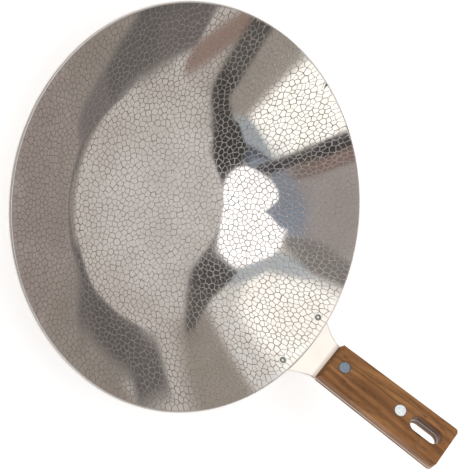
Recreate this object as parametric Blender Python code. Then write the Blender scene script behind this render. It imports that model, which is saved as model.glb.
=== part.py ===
"""Frying pan: a pressed steel bowl, a riveted steel bracket and a slotted wooden grip.

Metres, +Z up. The origin is the middle of the flat underside, the grip points along +X, and the
pan is the same on both sides of the XZ plane but for the small side offset of the grip's rivets.

The bowl's wall is two arcs: a wide corner that starts level at the edge of the small flat base, and
a nearly straight wall that goes on from the corner to the rim.
The bracket is one strap: its flange follows the outside of the wall, it leaves the wall just under
the rim, runs straight on, bends up to the grip's pitch at the wood, and goes on between the two
wooden scales as the tang.
"""

import math

import bmesh
import bpy
import numpy as np
from mathutils import Matrix, Vector

# Bowl
RIM_DIAMETER = 0.280
BOWL_HEIGHT = 0.050
CORNER_RADIUS = 0.110  # of the arc between the flat base and the wall, on the outside
CORNER_ANGLE = math.radians(30.0)  # slope of the wall where that arc ends
RIM_WALL_ANGLE = math.radians(38.0)  # slope of the wall where it reaches the rim
SHEET = 0.0022
RIM_CHAMFER = 0.0004

# Grip
GRIP_PITCH = math.radians(42.0)
GRIP_LENGTH = 0.1047
GRIP_FRONT_WIDTH = 0.0308
GRIP_REAR_WIDTH = 0.0328
UPPER_SCALE = 0.0105
LOWER_SCALE = 0.0075
NOSE_LEAN = 0.0034  # how far the front face leans back from the tang to the outer face
REAR_CORNER = 0.0030
UPPER_EDGE = 0.0016
LOWER_EDGE = 0.0060

# Bracket
STRAP = 0.0025
NECK_LENGTH = 0.0155  # straight stretch between the wall and the bend
BEND_RADIUS = 0.0500
NECK_SHOULDER = 0.0008  # the neck is this much wider than the tang on each side
FLARE_LENGTH = 0.0300
FLANGE_WIDTH = 0.0600
FLANGE_BELOW_RIVETS = 0.0120
FLANGE_CORNER = 0.0080

# Hanging slot, cut through both scales and the tang
SLOT_LENGTH = 0.0248
SLOT_WIDTH = 0.0114
SLOT_TO_END = 0.0069

# Grip rivets, with a flush head in each scale
ROW_OFFSET = 0.0012  # the rivets and the slot sit this far to the +Y side of the middle
GRIP_HEAD_DIAMETER = 0.0088
GRIP_HEAD_DEPTH = 0.0025
GRIP_SHANK_DIAMETER = 0.0050
FRONT_RIVET_SETBACK = 0.0134
REAR_RIVET_TO_SLOT = 0.0097

# Bowl rivets, countersunk flush on the inside and domed on the outside
BOWL_RIVET_SPACING = 0.0436
BOWL_RIVET_DROP = 0.0078  # from the rim, along the wall
BOWL_PIN_DIAMETER = 0.0036
SINK_DIAMETER = 0.0048
SINK_DEPTH = 0.0010
DOME_DIAMETER = 0.0090
DOME_HEIGHT = 0.0022
DOME_TO_NECK = 0.0008  # plain strap between a dome and the neck above it

CLEARANCE = 0.0003  # between neighbouring pieces

# Facets
BOWL_SEGMENTS = 96
CORNER_STEPS = 9
WALL_STEPS = 4
ROUND_SEGMENTS = 24
EDGE_STEPS = 4

# Sizes that follow from the ones above
RIM_RADIUS = RIM_DIAMETER / 2
CORNER_RISE = CORNER_RADIUS * (1 - math.cos(CORNER_ANGLE))
CORNER_REACH = CORNER_RADIUS * math.sin(CORNER_ANGLE)
RIM_EDGE_HEIGHT = BOWL_HEIGHT - SHEET * math.cos(RIM_WALL_ANGLE)
WALL_RADIUS = (RIM_EDGE_HEIGHT - CORNER_RISE) / (math.cos(CORNER_ANGLE) - math.cos(RIM_WALL_ANGLE))
WALL_REACH = WALL_RADIUS * (math.sin(RIM_WALL_ANGLE) - math.sin(CORNER_ANGLE))
BASE_RADIUS = RIM_RADIUS - CORNER_REACH - WALL_REACH
RIVET_ANGLE = RIM_WALL_ANGLE - BOWL_RIVET_DROP / WALL_RADIUS
LEAVE_DROP = BOWL_RIVET_DROP - DOME_DIAMETER / 2 - DOME_TO_NECK
LEAVE_ANGLE = RIM_WALL_ANGLE - LEAVE_DROP / WALL_RADIUS
SLOT_START = GRIP_LENGTH - SLOT_TO_END - SLOT_LENGTH
REAR_RIVET = SLOT_START - REAR_RIVET_TO_SLOT


def wall_point(slope, outward):
    """Radius and height of the wall where it has this slope, this far outside its outer face."""
    if slope <= CORNER_ANGLE:
        radius, height = CORNER_RADIUS * math.sin(slope), CORNER_RADIUS * (1 - math.cos(slope))
    else:
        radius = CORNER_REACH + WALL_RADIUS * (math.sin(slope) - math.sin(CORNER_ANGLE))
        height = CORNER_RISE + WALL_RADIUS * (math.cos(CORNER_ANGLE) - math.cos(slope))
    return BASE_RADIUS + radius + outward * math.sin(slope), height - outward * math.cos(slope)


# The strap's upper face in the XZ plane. Distance s runs from the wood's front (0) to the flange.
LEAVE_X, LEAVE_Z = wall_point(LEAVE_ANGLE, CLEARANCE)
BEND_X = LEAVE_X + NECK_LENGTH * math.cos(LEAVE_ANGLE) - BEND_RADIUS * math.sin(LEAVE_ANGLE)
BEND_Z = LEAVE_Z + NECK_LENGTH * math.sin(LEAVE_ANGLE) + BEND_RADIUS * math.cos(LEAVE_ANGLE)
NOSE_X = BEND_X + BEND_RADIUS * math.sin(GRIP_PITCH)
NOSE_Z = BEND_Z - BEND_RADIUS * math.cos(GRIP_PITCH)
BEND_END = BEND_RADIUS * (GRIP_PITCH - LEAVE_ANGLE)
NECK_END = BEND_END + NECK_LENGTH
RIVETS_S = NECK_END + (LEAVE_ANGLE - RIVET_ANGLE) * (WALL_RADIUS + CLEARANCE)
FLANGE_END = RIVETS_S + FLANGE_BELOW_RIVETS


def clear_scene():
    for obj in list(bpy.data.objects):
        bpy.data.objects.remove(obj, do_unlink=True)


def new_material(name, colour, roughness, metallic):
    material = bpy.data.materials.new(name)
    material.use_nodes = True
    shader = material.node_tree.nodes["Principled BSDF"]
    shader.inputs["Base Color"].default_value = (*colour, 1.0)
    shader.inputs["Roughness"].default_value = roughness
    shader.inputs["Metallic"].default_value = metallic
    return material


def add_object(name, bm, material=None, parent=None):
    """Turns a bmesh into an object with smooth faces and sharp edges above 35 degrees."""
    bmesh.ops.remove_doubles(bm, verts=bm.verts, dist=1e-7)
    bmesh.ops.recalc_face_normals(bm, faces=bm.faces)
    mesh = bpy.data.meshes.new(name)
    bm.to_mesh(mesh)
    bm.free()
    mesh.shade_smooth()
    mesh.set_sharp_from_angle(angle=math.radians(35.0))
    obj = bpy.data.objects.new(name, mesh)
    bpy.context.scene.collection.objects.link(obj)
    if material:
        mesh.materials.append(material)
    if parent:
        obj.parent = parent
    return obj


def turned(profile, segments):
    """Turns (radius, height) points, from axis to axis, about Z into a closed body."""
    bm = bmesh.new()
    verts = [bm.verts.new((radius, 0.0, height)) for radius, height in profile]
    edges = [bm.edges.new(pair) for pair in zip(verts, verts[1:])]
    bmesh.ops.spin(
        bm,
        geom=verts + edges,
        axis=(0.0, 0.0, 1.0),
        cent=(0.0, 0.0, 0.0),
        angle=2 * math.pi,
        steps=segments,
        use_merge=True,
    )
    return bm


def cut(obj, cutter):
    """Cuts the cutter out of the object and hides the cutter."""
    modifier = obj.modifiers.new(cutter.name, "BOOLEAN")
    modifier.operation = "DIFFERENCE"
    modifier.solver = "EXACT"
    modifier.object = cutter
    cutter.hide_render = True
    cutter.display_type = "WIRE"


def bowl_profile():
    """Inner face from the axis to the rim, over the chamfered rim, and the outer face back."""
    corner = np.linspace(0.0, CORNER_ANGLE, CORNER_STEPS + 1)
    wall = np.linspace(CORNER_ANGLE, RIM_WALL_ANGLE, WALL_STEPS + 1)[1:]
    slopes = np.concatenate([corner, wall])
    last = RIM_WALL_ANGLE - RIM_CHAMFER / WALL_RADIUS
    inner = [wall_point(slope, -SHEET) for slope in slopes[:-1]] + [wall_point(last, -SHEET)]
    edge = [
        wall_point(RIM_WALL_ANGLE, RIM_CHAMFER - SHEET),
        wall_point(RIM_WALL_ANGLE, -RIM_CHAMFER),
    ]
    outer = [wall_point(last, 0.0)] + [wall_point(slope, 0.0) for slope in slopes[-2::-1]]
    return [(0.0, SHEET)] + inner + edge + outer + [(0.0, 0.0)]


def strap_centre(s):
    """X and Z of the strap's upper face on the middle line, and the slope there."""
    if s <= 0:
        return NOSE_X - s * math.cos(GRIP_PITCH), NOSE_Z - s * math.sin(GRIP_PITCH)
    if s <= BEND_END:
        slope = GRIP_PITCH - s / BEND_RADIUS
        return BEND_X + BEND_RADIUS * math.sin(slope), BEND_Z - BEND_RADIUS * math.cos(slope)
    if s <= NECK_END:
        to_wall = NECK_END - s
        return LEAVE_X + to_wall * math.cos(LEAVE_ANGLE), LEAVE_Z + to_wall * math.sin(LEAVE_ANGLE)
    slope = LEAVE_ANGLE - (s - NECK_END) / (WALL_RADIUS + CLEARANCE)
    return wall_point(slope, CLEARANCE)


def ease(share):
    """Runs from 0 to 1 with level ends."""
    share = min(max(share, 0.0), 1.0)
    return share * share * (3 - 2 * share)


def grip_half_width(u):
    """Half the grip's width at a distance u behind its nose."""
    return (GRIP_FRONT_WIDTH + (GRIP_REAR_WIDTH - GRIP_FRONT_WIDTH) * u / GRIP_LENGTH) / 2


def strap_half_width(s):
    """Half the strap's width: tang, flaring neck, then the flange with its round corners."""
    if s <= 0:
        half = grip_half_width(-s)
        into = REAR_CORNER - (GRIP_LENGTH + s)
        return half - REAR_CORNER + math.sqrt(REAR_CORNER**2 - max(into, 0.0) ** 2)
    neck = GRIP_FRONT_WIDTH / 2 + NECK_SHOULDER
    half = neck + (FLANGE_WIDTH / 2 - neck) * ease(s / FLARE_LENGTH)
    into = FLANGE_CORNER - (FLANGE_END - s)
    return half - FLANGE_CORNER + math.sqrt(FLANGE_CORNER**2 - max(into, 0.0) ** 2)


def strap_point(s, v):
    """A point of the strap's upper face, v to the side. It is flat at the wood and follows the
    bowl's round wall from the neck's end, with its curvature easing in from the wood."""
    x, z = strap_centre(s)
    curvature = ease(s / NECK_END) / x
    if curvature < 1e-6:
        return x, v, z
    turn = curvature * v
    return x - (1 - math.cos(turn)) / curvature, math.sin(turn) / curvature, z


def strap_stations():
    """Distances s at which the strap has a row of points, close together where it curves."""
    quarter = np.linspace(0.0, math.pi / 2, EDGE_STEPS + 1)
    rear = -GRIP_LENGTH + REAR_CORNER * (1 - np.cos(quarter))
    tang = np.linspace(rear[-1], 0.0, 4)[1:]
    bend = np.linspace(0.0, BEND_END, 5)[1:]
    neck = np.linspace(BEND_END, NECK_END, 8)[1:]
    wall = np.linspace(NECK_END, FLANGE_END - FLANGE_CORNER, 6)[1:]
    corner = FLANGE_END - FLANGE_CORNER * (1 - np.sin(quarter))[1:]
    step = np.array([1e-5])  # turns the tang's width into the wider neck's
    return np.concatenate([rear, tang, step, bend, neck, wall, corner])


def build_strap(material):
    across = np.linspace(-1.0, 1.0, 13)
    bm = bmesh.new()
    rows = []
    for s in strap_stations():
        half = strap_half_width(s)
        rows.append([bm.verts.new(strap_point(s, half * share)) for share in across])
    for row, following in zip(rows, rows[1:]):
        for k in range(len(across) - 1):
            bm.faces.new((row[k], row[k + 1], following[k + 1], following[k]))
    strap = add_object("handle_bracket", bm, material)
    # The upper face looks up, so the thickness goes down and outwards.
    if strap.data.polygons[0].normal.z < 0:
        strap.data.flip_normals()
    solid = strap.modifiers.new("thickness", "SOLIDIFY")
    solid.thickness = STRAP
    solid.offset = -1.0
    solid.use_even_offset = True
    return strap


def grip_outline(inset, nose):
    """The grip's outline, drawn in by inset, as (u, v) points with round rear corners.

    nose is how far its front lies behind the tang's front edge."""
    corner = max(REAR_CORNER - inset, 0.0004)
    rear = GRIP_LENGTH - inset
    half = grip_half_width(rear) - inset
    quarter = np.linspace(0.0, math.pi / 2, EDGE_STEPS + 1)
    side = [
        (rear - corner + corner * math.cos(a), half - corner + corner * math.sin(a))
        for a in quarter
    ]
    front = nose + inset
    side.append((front, grip_half_width(front) - inset))
    return [(u, -v) for u, v in reversed(side)] + side


def build_scale(name, levels, material, parent):
    """Joins one outline for each (height, inset, nose) level into a closed block."""
    bm = bmesh.new()
    rings = []
    for height, inset, nose in levels:
        rings.append([bm.verts.new((u, v, height)) for u, v in grip_outline(inset, nose)])
    for ring, following in zip(rings, rings[1:]):
        for k in range(len(ring)):
            n = (k + 1) % len(ring)
            bm.faces.new((ring[k], ring[n], following[n], following[k]))
    bm.faces.new(rings[0])
    bm.faces.new(rings[-1])
    return add_object(name, bm, material, parent)


def scale_levels(seat, thickness, edge, way):
    """Levels of a scale from its seat on the tang to its outer face, up (way 1) or down (-1)."""
    levels = [(seat, 0.0, 0.0)]
    for turn in np.linspace(0.0, math.pi / 2, EDGE_STEPS + 1):
        height = thickness - edge + edge * math.sin(turn)
        inset = edge * (1 - math.cos(turn))
        levels.append((seat + way * height, inset, NOSE_LEAN * height / thickness))
    return levels


def slot_cutter(parent):
    """A prism with round ends that passes through the whole grip."""
    radius = SLOT_WIDTH / 2
    outline = []
    for middle, start in ((SLOT_START + SLOT_LENGTH - radius, -0.5), (SLOT_START + radius, 0.5)):
        for turn in np.linspace(start * math.pi, (start + 1) * math.pi, ROUND_SEGMENTS // 2 + 1):
            outline.append((middle + radius * math.cos(turn), radius * math.sin(turn)))
    reach = UPPER_SCALE + LOWER_SCALE + STRAP
    bm = bmesh.new()
    ring = [bm.verts.new((u, v + ROW_OFFSET, -reach)) for u, v in outline]
    face = bm.faces.new(ring)
    top = bmesh.ops.extrude_face_region(bm, geom=[face])
    raised = [item for item in top["geom"] if isinstance(item, bmesh.types.BMVert)]
    bmesh.ops.translate(bm, verts=raised, vec=(0.0, 0.0, 2 * reach))
    return add_object("slot_cutter", bm, parent=parent)


def grip_rivet_profile(grow):
    """Flush heads with a shank between them, grown by a clearance for the cutter."""
    top = CLEARANCE + UPPER_SCALE
    bottom = -STRAP - CLEARANCE - LOWER_SCALE
    head = GRIP_HEAD_DIAMETER / 2 + grow
    shank = GRIP_SHANK_DIAMETER / 2 + grow
    return [
        (0.0, top + grow),
        (head, top + grow),
        (head, top - GRIP_HEAD_DEPTH - grow),
        (shank, top - GRIP_HEAD_DEPTH - grow),
        (shank, bottom + GRIP_HEAD_DEPTH + grow),
        (head, bottom + GRIP_HEAD_DEPTH + grow),
        (head, bottom - grow),
        (0.0, bottom - grow),
    ]


def bowl_rivet_profile():
    """From the inner face (height 0) out through the wall and the strap to the dome."""
    pin = BOWL_PIN_DIAMETER / 2
    seat = SHEET + STRAP + 2 * CLEARANCE
    dome = DOME_DIAMETER / 2
    ball = (dome**2 + DOME_HEIGHT**2) / (2 * DOME_HEIGHT)
    turns = np.linspace(math.asin(dome / ball), 0.0, EDGE_STEPS + 2)
    cap = [
        (ball * math.sin(turn), seat + DOME_HEIGHT - ball * (1 - math.cos(turn)))
        for turn in turns[:-1]
    ]
    body = [(0.0, 0.0), (SINK_DIAMETER / 2, 0.0), (pin, SINK_DEPTH), (pin, seat)]
    return body + cap + [(0.0, seat + DOME_HEIGHT)]


def bowl_hole_profile():
    """The rivet's hole, one clearance wider, from inside the bowl to outside the strap."""
    pin = BOWL_PIN_DIAMETER / 2 + CLEARANCE
    sink = SINK_DIAMETER / 2 + CLEARANCE
    reach = SHEET + STRAP
    return [
        (0.0, -reach),
        (sink, -reach),
        (sink, 0.0),
        (pin, SINK_DEPTH),
        (pin, 2 * reach),
        (0.0, 2 * reach),
    ]


def bowl_rivet_matrix(side):
    """Puts a turned rivet on the wall: its foot on the inner face, its axis square to the wall."""
    radius, height = wall_point(RIVET_ANGLE, -SHEET)
    azimuth = side * math.asin(BOWL_RIVET_SPACING / 2 / radius)
    out = Vector((math.cos(azimuth), math.sin(azimuth), 0.0))
    axis = out * math.sin(RIVET_ANGLE) - Vector((0.0, 0.0, math.cos(RIVET_ANGLE)))
    turn = axis.to_track_quat("Z", "Y").to_matrix().to_4x4()
    place = Matrix.Translation(out * radius + Vector((0.0, 0.0, height)))
    return place @ turn


def main():
    clear_scene()
    steel = new_material("bowl_steel", (0.52, 0.48, 0.45), 0.28, 1.0)
    polished = new_material("bracket_steel", (0.78, 0.76, 0.73), 0.18, 1.0)
    upper_wood = new_material("upper_wood", (0.30, 0.155, 0.07), 0.45, 0.0)
    lower_wood = new_material("lower_wood", (0.27, 0.14, 0.065), 0.45, 0.0)
    rivet_steel = new_material("rivet_steel", (0.66, 0.68, 0.70), 0.25, 1.0)

    bowl = add_object("pan_bowl", turned(bowl_profile(), BOWL_SEGMENTS), steel)
    strap = build_strap(polished)

    for name, side in (("left_bowl_rivet", 1.0), ("right_bowl_rivet", -1.0)):
        place = bowl_rivet_matrix(side)
        rivet = add_object(name, turned(bowl_rivet_profile(), ROUND_SEGMENTS), rivet_steel)
        rivet.matrix_world = place
        hole = add_object(name + "_cutter", turned(bowl_hole_profile(), ROUND_SEGMENTS))
        hole.matrix_world = place
        cut(bowl, hole)
        cut(strap, hole)

    # The grip is built level in its own frame: u along +X, its nose at the frame's origin,
    # and the tang's upper face at height 0.
    grip = bpy.data.objects.new("grip_frame", None)
    grip.location = (NOSE_X, 0.0, NOSE_Z)
    grip.rotation_euler = (0.0, -GRIP_PITCH, 0.0)
    bpy.context.scene.collection.objects.link(grip)

    upper_levels = scale_levels(CLEARANCE, UPPER_SCALE, UPPER_EDGE, 1.0)
    upper = build_scale("upper_grip_scale", upper_levels, upper_wood, grip)
    lower_levels = scale_levels(-STRAP - CLEARANCE, LOWER_SCALE, LOWER_EDGE, -1.0)
    lower = build_scale("lower_grip_scale", lower_levels, lower_wood, grip)

    slot = slot_cutter(grip)
    for piece in (upper, lower, strap):
        cut(piece, slot)

    for name, u in (("front_grip_rivet", FRONT_RIVET_SETBACK), ("rear_grip_rivet", REAR_RIVET)):
        rivet = add_object(name, turned(grip_rivet_profile(0.0), ROUND_SEGMENTS), rivet_steel, grip)
        rivet.location = (u, ROW_OFFSET, 0.0)
        hole_shape = turned(grip_rivet_profile(CLEARANCE), ROUND_SEGMENTS)
        hole = add_object(name + "_cutter", hole_shape, parent=grip)
        hole.location = (u, ROW_OFFSET, 0.0)
        for piece in (upper, lower, strap):
            cut(piece, hole)


main()
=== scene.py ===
"""A frying pan of crackle-patterned steel with a slotted wooden grip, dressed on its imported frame.

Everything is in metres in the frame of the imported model: the pan stands on z = 0 and its grip
points along +X. Each visible piece is a new mesh, computed as whole arrays from the pan's own sizes,
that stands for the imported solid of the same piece.
"""

import logging
import math
from dataclasses import dataclass
from enum import Enum

import bmesh
import bpy
import numpy as np
from mathutils import Matrix
from mathutils.geometry import delaunay_2d_cdt


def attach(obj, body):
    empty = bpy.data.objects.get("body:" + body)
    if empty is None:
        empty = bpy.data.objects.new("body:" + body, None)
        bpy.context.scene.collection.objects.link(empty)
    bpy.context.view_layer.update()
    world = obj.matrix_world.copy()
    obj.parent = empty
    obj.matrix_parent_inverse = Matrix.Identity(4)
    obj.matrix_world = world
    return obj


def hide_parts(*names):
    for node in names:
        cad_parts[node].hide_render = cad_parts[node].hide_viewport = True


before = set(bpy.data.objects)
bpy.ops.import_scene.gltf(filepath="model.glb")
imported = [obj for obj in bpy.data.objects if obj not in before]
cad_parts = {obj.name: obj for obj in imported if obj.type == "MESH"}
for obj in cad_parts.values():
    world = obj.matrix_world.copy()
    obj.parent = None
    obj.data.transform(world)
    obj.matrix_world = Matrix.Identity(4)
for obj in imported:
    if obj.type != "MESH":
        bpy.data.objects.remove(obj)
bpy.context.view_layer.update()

LOG = logging.getLogger("frying_pan")
MM = 0.001
CLEARANCE = 0.0003  # between neighbouring pieces
GRIP_PITCH = math.radians(42.0)


class Side(Enum):
    """Which side of the grip's plane a bowl rivet is on."""

    LEFT = 1.0
    RIGHT = -1.0


class Finish(Enum):
    """The record's material slots."""

    BOWL = "bowl_steel"
    BRACKET = "bracket_steel"
    RIVET = "rivet_steel"
    WOOD = "wood"


# Sizes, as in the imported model


@dataclass(frozen=True)
class WallSizes:
    """The bowl's sheet: a small flat base, a wide corner arc and a nearly straight wall to the rim."""

    rim_radius: float = 0.140
    height: float = 0.050
    corner_radius: float = 0.110
    corner_angle: float = math.radians(30.0)
    rim_angle: float = math.radians(38.0)
    sheet: float = 0.0022

    @property
    def wall_radius(self) -> float:
        """Radius of the upper arc, which makes the rim come out at the pan's height.

        Returns:
            The radius of the outer face above the corner.
        """
        rise = self.corner_radius * (1 - math.cos(self.corner_angle))
        edge = self.height - self.sheet * math.cos(self.rim_angle)
        return (edge - rise) / (math.cos(self.corner_angle) - math.cos(self.rim_angle))

    @property
    def base_radius(self) -> float:
        """Radius of the flat base, where the corner starts.

        Returns:
            The rim's radius less the reach of both arcs.
        """
        corner = self.corner_radius * math.sin(self.corner_angle)
        wall = self.wall_radius * (math.sin(self.rim_angle) - math.sin(self.corner_angle))
        return self.rim_radius - corner - wall

    def point(self, slope: np.ndarray, outward: float | np.ndarray) -> tuple[np.ndarray, np.ndarray]:
        """Finds the wall where it has a slope. Each arc adds radius * (1 - cos slope) to the height.

        Args:
            slope: The wall's slope in radians, 0 at the base.
            outward: Distance outside the outer face; the inner face is at minus the sheet.

        Returns:
            The distance from the axis and the height.
        """
        low = np.minimum(slope, self.corner_angle)
        high = np.maximum(slope, self.corner_angle)
        radius = self.corner_radius * np.sin(low)
        radius = radius + self.wall_radius * (np.sin(high) - math.sin(self.corner_angle))
        height = self.corner_radius * (1 - np.cos(low))
        height = height + self.wall_radius * (math.cos(self.corner_angle) - np.cos(high))
        return self.base_radius + radius + outward * np.sin(slope), height - outward * np.cos(slope)

    def face_length(self, outward: float) -> float:
        """Measures a face along its profile.

        Args:
            outward: Distance outside the outer face.

        Returns:
            The length from the axis to the rim.
        """
        corner = (self.corner_radius + outward) * self.corner_angle
        wall = (self.wall_radius + outward) * (self.rim_angle - self.corner_angle)
        return self.base_radius + corner + wall

    def slope_at(self, length: np.ndarray, outward: float) -> np.ndarray:
        """Finds the slope at a length along a face, measured from the axis.

        Args:
            length: Distance from the axis along the face.
            outward: Distance outside the outer face.

        Returns:
            The slope in radians: 0 on the base, then length over radius on each arc.
        """
        corner = (self.corner_radius + outward) * self.corner_angle
        past_base = np.clip(length - self.base_radius, 0.0, corner)
        past_corner = np.maximum(length - self.base_radius - corner, 0.0)
        return past_base / (self.corner_radius + outward) + past_corner / (self.wall_radius + outward)

    def on_face(self, length: np.ndarray, outward: float) -> tuple[np.ndarray, np.ndarray, np.ndarray]:
        """Finds a point of a face by its length from the axis.

        Args:
            length: Distance from the axis along the face.
            outward: Distance outside the outer face.

        Returns:
            The distance from the axis, the height and the slope.
        """
        slope = self.slope_at(length, outward)
        radius, height = self.point(slope, outward)
        return np.where(length < self.base_radius, length, radius), height, slope


@dataclass(frozen=True)
class CrackleSizes:
    """The pressed pattern: raised cells with mirror-like tops and narrow rough grooves."""

    cell_area: float = 15.6e-6  # square metres
    rim_stretch: float = 1.32  # how much longer than wide a cell is at the rim
    jitter: float = 0.55  # how far a seed leaves its place, as a share of the rings' step
    relax: float = 0.30  # how far a seed then moves towards its cell's middle
    groove_depth: float = 0.00010
    shoulder: float = 0.00019  # from the groove's middle to the cell's shoulder
    plateau: float = 0.00034  # from the groove's middle to the flat top
    shoulder_drop: float = 0.000006
    tilt: float = math.radians(0.30)
    margin: float = 0.0005  # plain strip between the last cells and the rim's edge
    mirrored_strip: float = 0.016  # how near the edge cells are mirrored outside it
    merged: float = 0.0004  # corners nearer than this on the edge become one
    apothem: float = 0.86  # a cell's mean distance to its sides, as a share of that to its corners
    shoulder_follows: float = 0.80  # how far the shoulder follows the cell's corners; 0 is a circle
    plateau_follows: float = 0.55
    shoulder_groove: float = 0.70  # the groove attribute at the shoulder; it is 1 in the groove
    seed: int = 28


@dataclass(frozen=True)
class StrapSizes:
    """The bracket: flange, flaring neck and tang in one strap."""

    thickness: float = 0.0025
    neck_length: float = 0.0155
    bend_radius: float = 0.0500
    neck_shoulder: float = 0.0008
    flare_length: float = 0.0300
    flange_width: float = 0.0600
    flange_below_rivets: float = 0.0120
    flange_corner: float = 0.0080
    edge: float = 0.0005


@dataclass(frozen=True)
class GripSizes:
    """The two wooden scales with their slot, in the grip's own frame."""

    pitch: float = GRIP_PITCH
    length: float = 0.1047
    front_width: float = 0.0308
    rear_width: float = 0.0328
    upper: float = 0.0105
    lower: float = 0.0075
    nose_lean: float = 0.0034
    rear_corner: float = 0.0030
    upper_edge: float = 0.0016
    lower_edge: float = 0.0060
    slot_length: float = 0.0248
    slot_width: float = 0.0114
    slot_to_end: float = 0.0069
    slot_edge: float = 0.0009
    row_offset: float = 0.0012
    front_rivet: float = 0.0134
    rear_rivet_to_slot: float = 0.0097

    @property
    def slot_start(self) -> float:
        """Distance from the nose to where the slot begins."""
        return self.length - self.slot_to_end - self.slot_length

    @property
    def rear_rivet(self) -> float:
        """Distance from the nose to the rear rivet."""
        return self.slot_start - self.rear_rivet_to_slot

    def half_width(self, u: np.ndarray) -> np.ndarray:
        """Half the grip's width at u behind the nose; it grows evenly to the rear."""
        return (self.front_width + (self.rear_width - self.front_width) * u / self.length) / 2


@dataclass(frozen=True)
class RivetSizes:
    """Flush grip rivets and countersunk bowl rivets."""

    head_diameter: float = 0.0088
    head_depth: float = 0.0025
    shank_diameter: float = 0.0050
    head_dome: float = 0.00022
    bowl_spacing: float = 0.0436
    bowl_drop: float = 0.0078
    pin_diameter: float = 0.0036
    sink_diameter: float = 0.0048
    sink_depth: float = 0.0010
    dome_diameter: float = 0.0090
    dome_height: float = 0.0022
    dome_to_neck: float = 0.0008


# Mesh helpers


def ease(share: np.ndarray) -> np.ndarray:
    """Runs from 0 to 1 with level ends, 3t^2 - 2t^3, as the share does."""
    share = np.clip(share, 0.0, 1.0)
    return share * share * (3 - 2 * share)


def mesh_object(name: str, points: np.ndarray, faces: list[np.ndarray]) -> bpy.types.Object:
    """Makes an object from arrays of triangles, quads or larger faces.

    Args:
        name: The piece's name.
        points: One row of x, y and z for each vertex.
        faces: Arrays of vertex numbers, each array with its own number of corners.

    Returns:
        The object, at the origin.
    """
    corners = np.concatenate([block.ravel() for block in faces]).astype(np.int32)
    totals = np.concatenate([np.full(len(block), block.shape[1], np.int32) for block in faces])
    starts = (np.cumsum(totals) - totals).astype(np.int32)
    mesh = bpy.data.meshes.new(name)
    mesh.vertices.add(len(points))
    mesh.vertices.foreach_set("co", points.astype(np.float32).ravel())
    mesh.loops.add(len(corners))
    mesh.loops.foreach_set("vertex_index", corners)
    mesh.polygons.add(len(totals))
    mesh.polygons.foreach_set("loop_start", starts)
    mesh.update(calc_edges=True)
    mesh.validate()
    obj = bpy.data.objects.new(name, mesh)
    bpy.context.scene.collection.objects.link(obj)
    return obj


def ring_faces(rows: int, columns: int) -> np.ndarray:
    """Numbers the quads between the rows of a grid whose rows are closed rings.

    Args:
        rows: How many rings.
        columns: Points in each ring.

    Returns:
        Four vertex numbers for each quad.
    """
    row, column = np.meshgrid(np.arange(rows - 1), np.arange(columns), indexing="ij")
    following = (column + 1) % columns
    quads = [
        row * columns + column,
        (row + 1) * columns + column,
        (row + 1) * columns + following,
        row * columns + following,
    ]
    return np.stack(quads, axis=-1).reshape(-1, 4)


def loft(name: str, rings: np.ndarray) -> bpy.types.Object:
    """Closes a stack of rings into a body, with one face over each end.

    Args:
        name: The piece's name.
        rings: Points by ring, by place in the ring, by axis.

    Returns:
        The object, with its faces outward.
    """
    rows, columns = rings.shape[:2]
    first = np.arange(columns)[None, :]
    last = first + (rows - 1) * columns
    obj = mesh_object(name, rings.reshape(-1, 3), [ring_faces(rows, columns), first, last])
    face_outward(obj)
    return obj


def turned(name: str, profile: np.ndarray, segments: int) -> bpy.types.Object:
    """Turns a profile about Z: x = r cos a, y = r sin a. Its two ends lie on the axis.

    Args:
        name: The piece's name.
        profile: Rows of radius and height, from axis to axis.
        segments: Points round the axis.

    Returns:
        The closed object.
    """
    angle = np.arange(segments) * 2 * math.pi / segments
    inner = profile[1:-1]
    x = inner[:, :1] * np.cos(angle)
    y = inner[:, :1] * np.sin(angle)
    z = np.broadcast_to(inner[:, 1:], x.shape)
    poles = np.array([[0.0, 0.0, profile[0, 1]], [0.0, 0.0, profile[-1, 1]]])
    points = np.concatenate([np.stack([x, y, z], axis=-1).reshape(-1, 3), poles])
    here = np.arange(segments)
    following = (here + 1) % segments
    count = len(inner) * segments
    start = np.stack([following, here, np.full(segments, count)], axis=-1)
    base = (len(inner) - 1) * segments
    end = np.stack([base + here, base + following, np.full(segments, count + 1)], axis=-1)
    obj = mesh_object(name, points, [ring_faces(len(inner), segments), start, end])
    face_outward(obj)
    return obj


def face_outward(obj: bpy.types.Object) -> None:
    """Turns all faces of a closed mesh outward.

    Args:
        obj: The object.
    """
    bm = bmesh.new()
    bm.from_mesh(obj.data)
    bmesh.ops.recalc_face_normals(bm, faces=bm.faces)
    bm.to_mesh(obj.data)
    bm.free()


def smooth(obj: bpy.types.Object, angle: float = 32.0) -> None:
    """Shades the object's mesh smooth, with sharp edges above an angle in degrees."""
    obj.data.shade_smooth()
    obj.data.set_sharp_from_angle(angle=math.radians(angle))


def cut(obj: bpy.types.Object, cutters: list[bpy.types.Object]) -> None:
    """Cuts bodies out of the object for good.

    Args:
        obj: The object, whose mesh is replaced.
        cutters: The bodies to cut out.
    """
    for cutter in cutters:
        modifier = obj.modifiers.new(cutter.name, "BOOLEAN")
        modifier.operation = "DIFFERENCE"
        modifier.solver = "EXACT"
        modifier.object = cutter
    graph = bpy.context.evaluated_depsgraph_get()
    mesh = bpy.data.meshes.new_from_object(obj.evaluated_get(graph))
    obj.modifiers.clear()
    old = obj.data
    obj.data = mesh
    bpy.data.meshes.remove(old)


def remove(cutters: list[bpy.types.Object]) -> None:
    """Deletes cutters that are no longer needed.

    Args:
        cutters: The objects.
    """
    for cutter in cutters:
        mesh = cutter.data
        bpy.data.objects.remove(cutter, do_unlink=True)
        bpy.data.meshes.remove(mesh)


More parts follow.
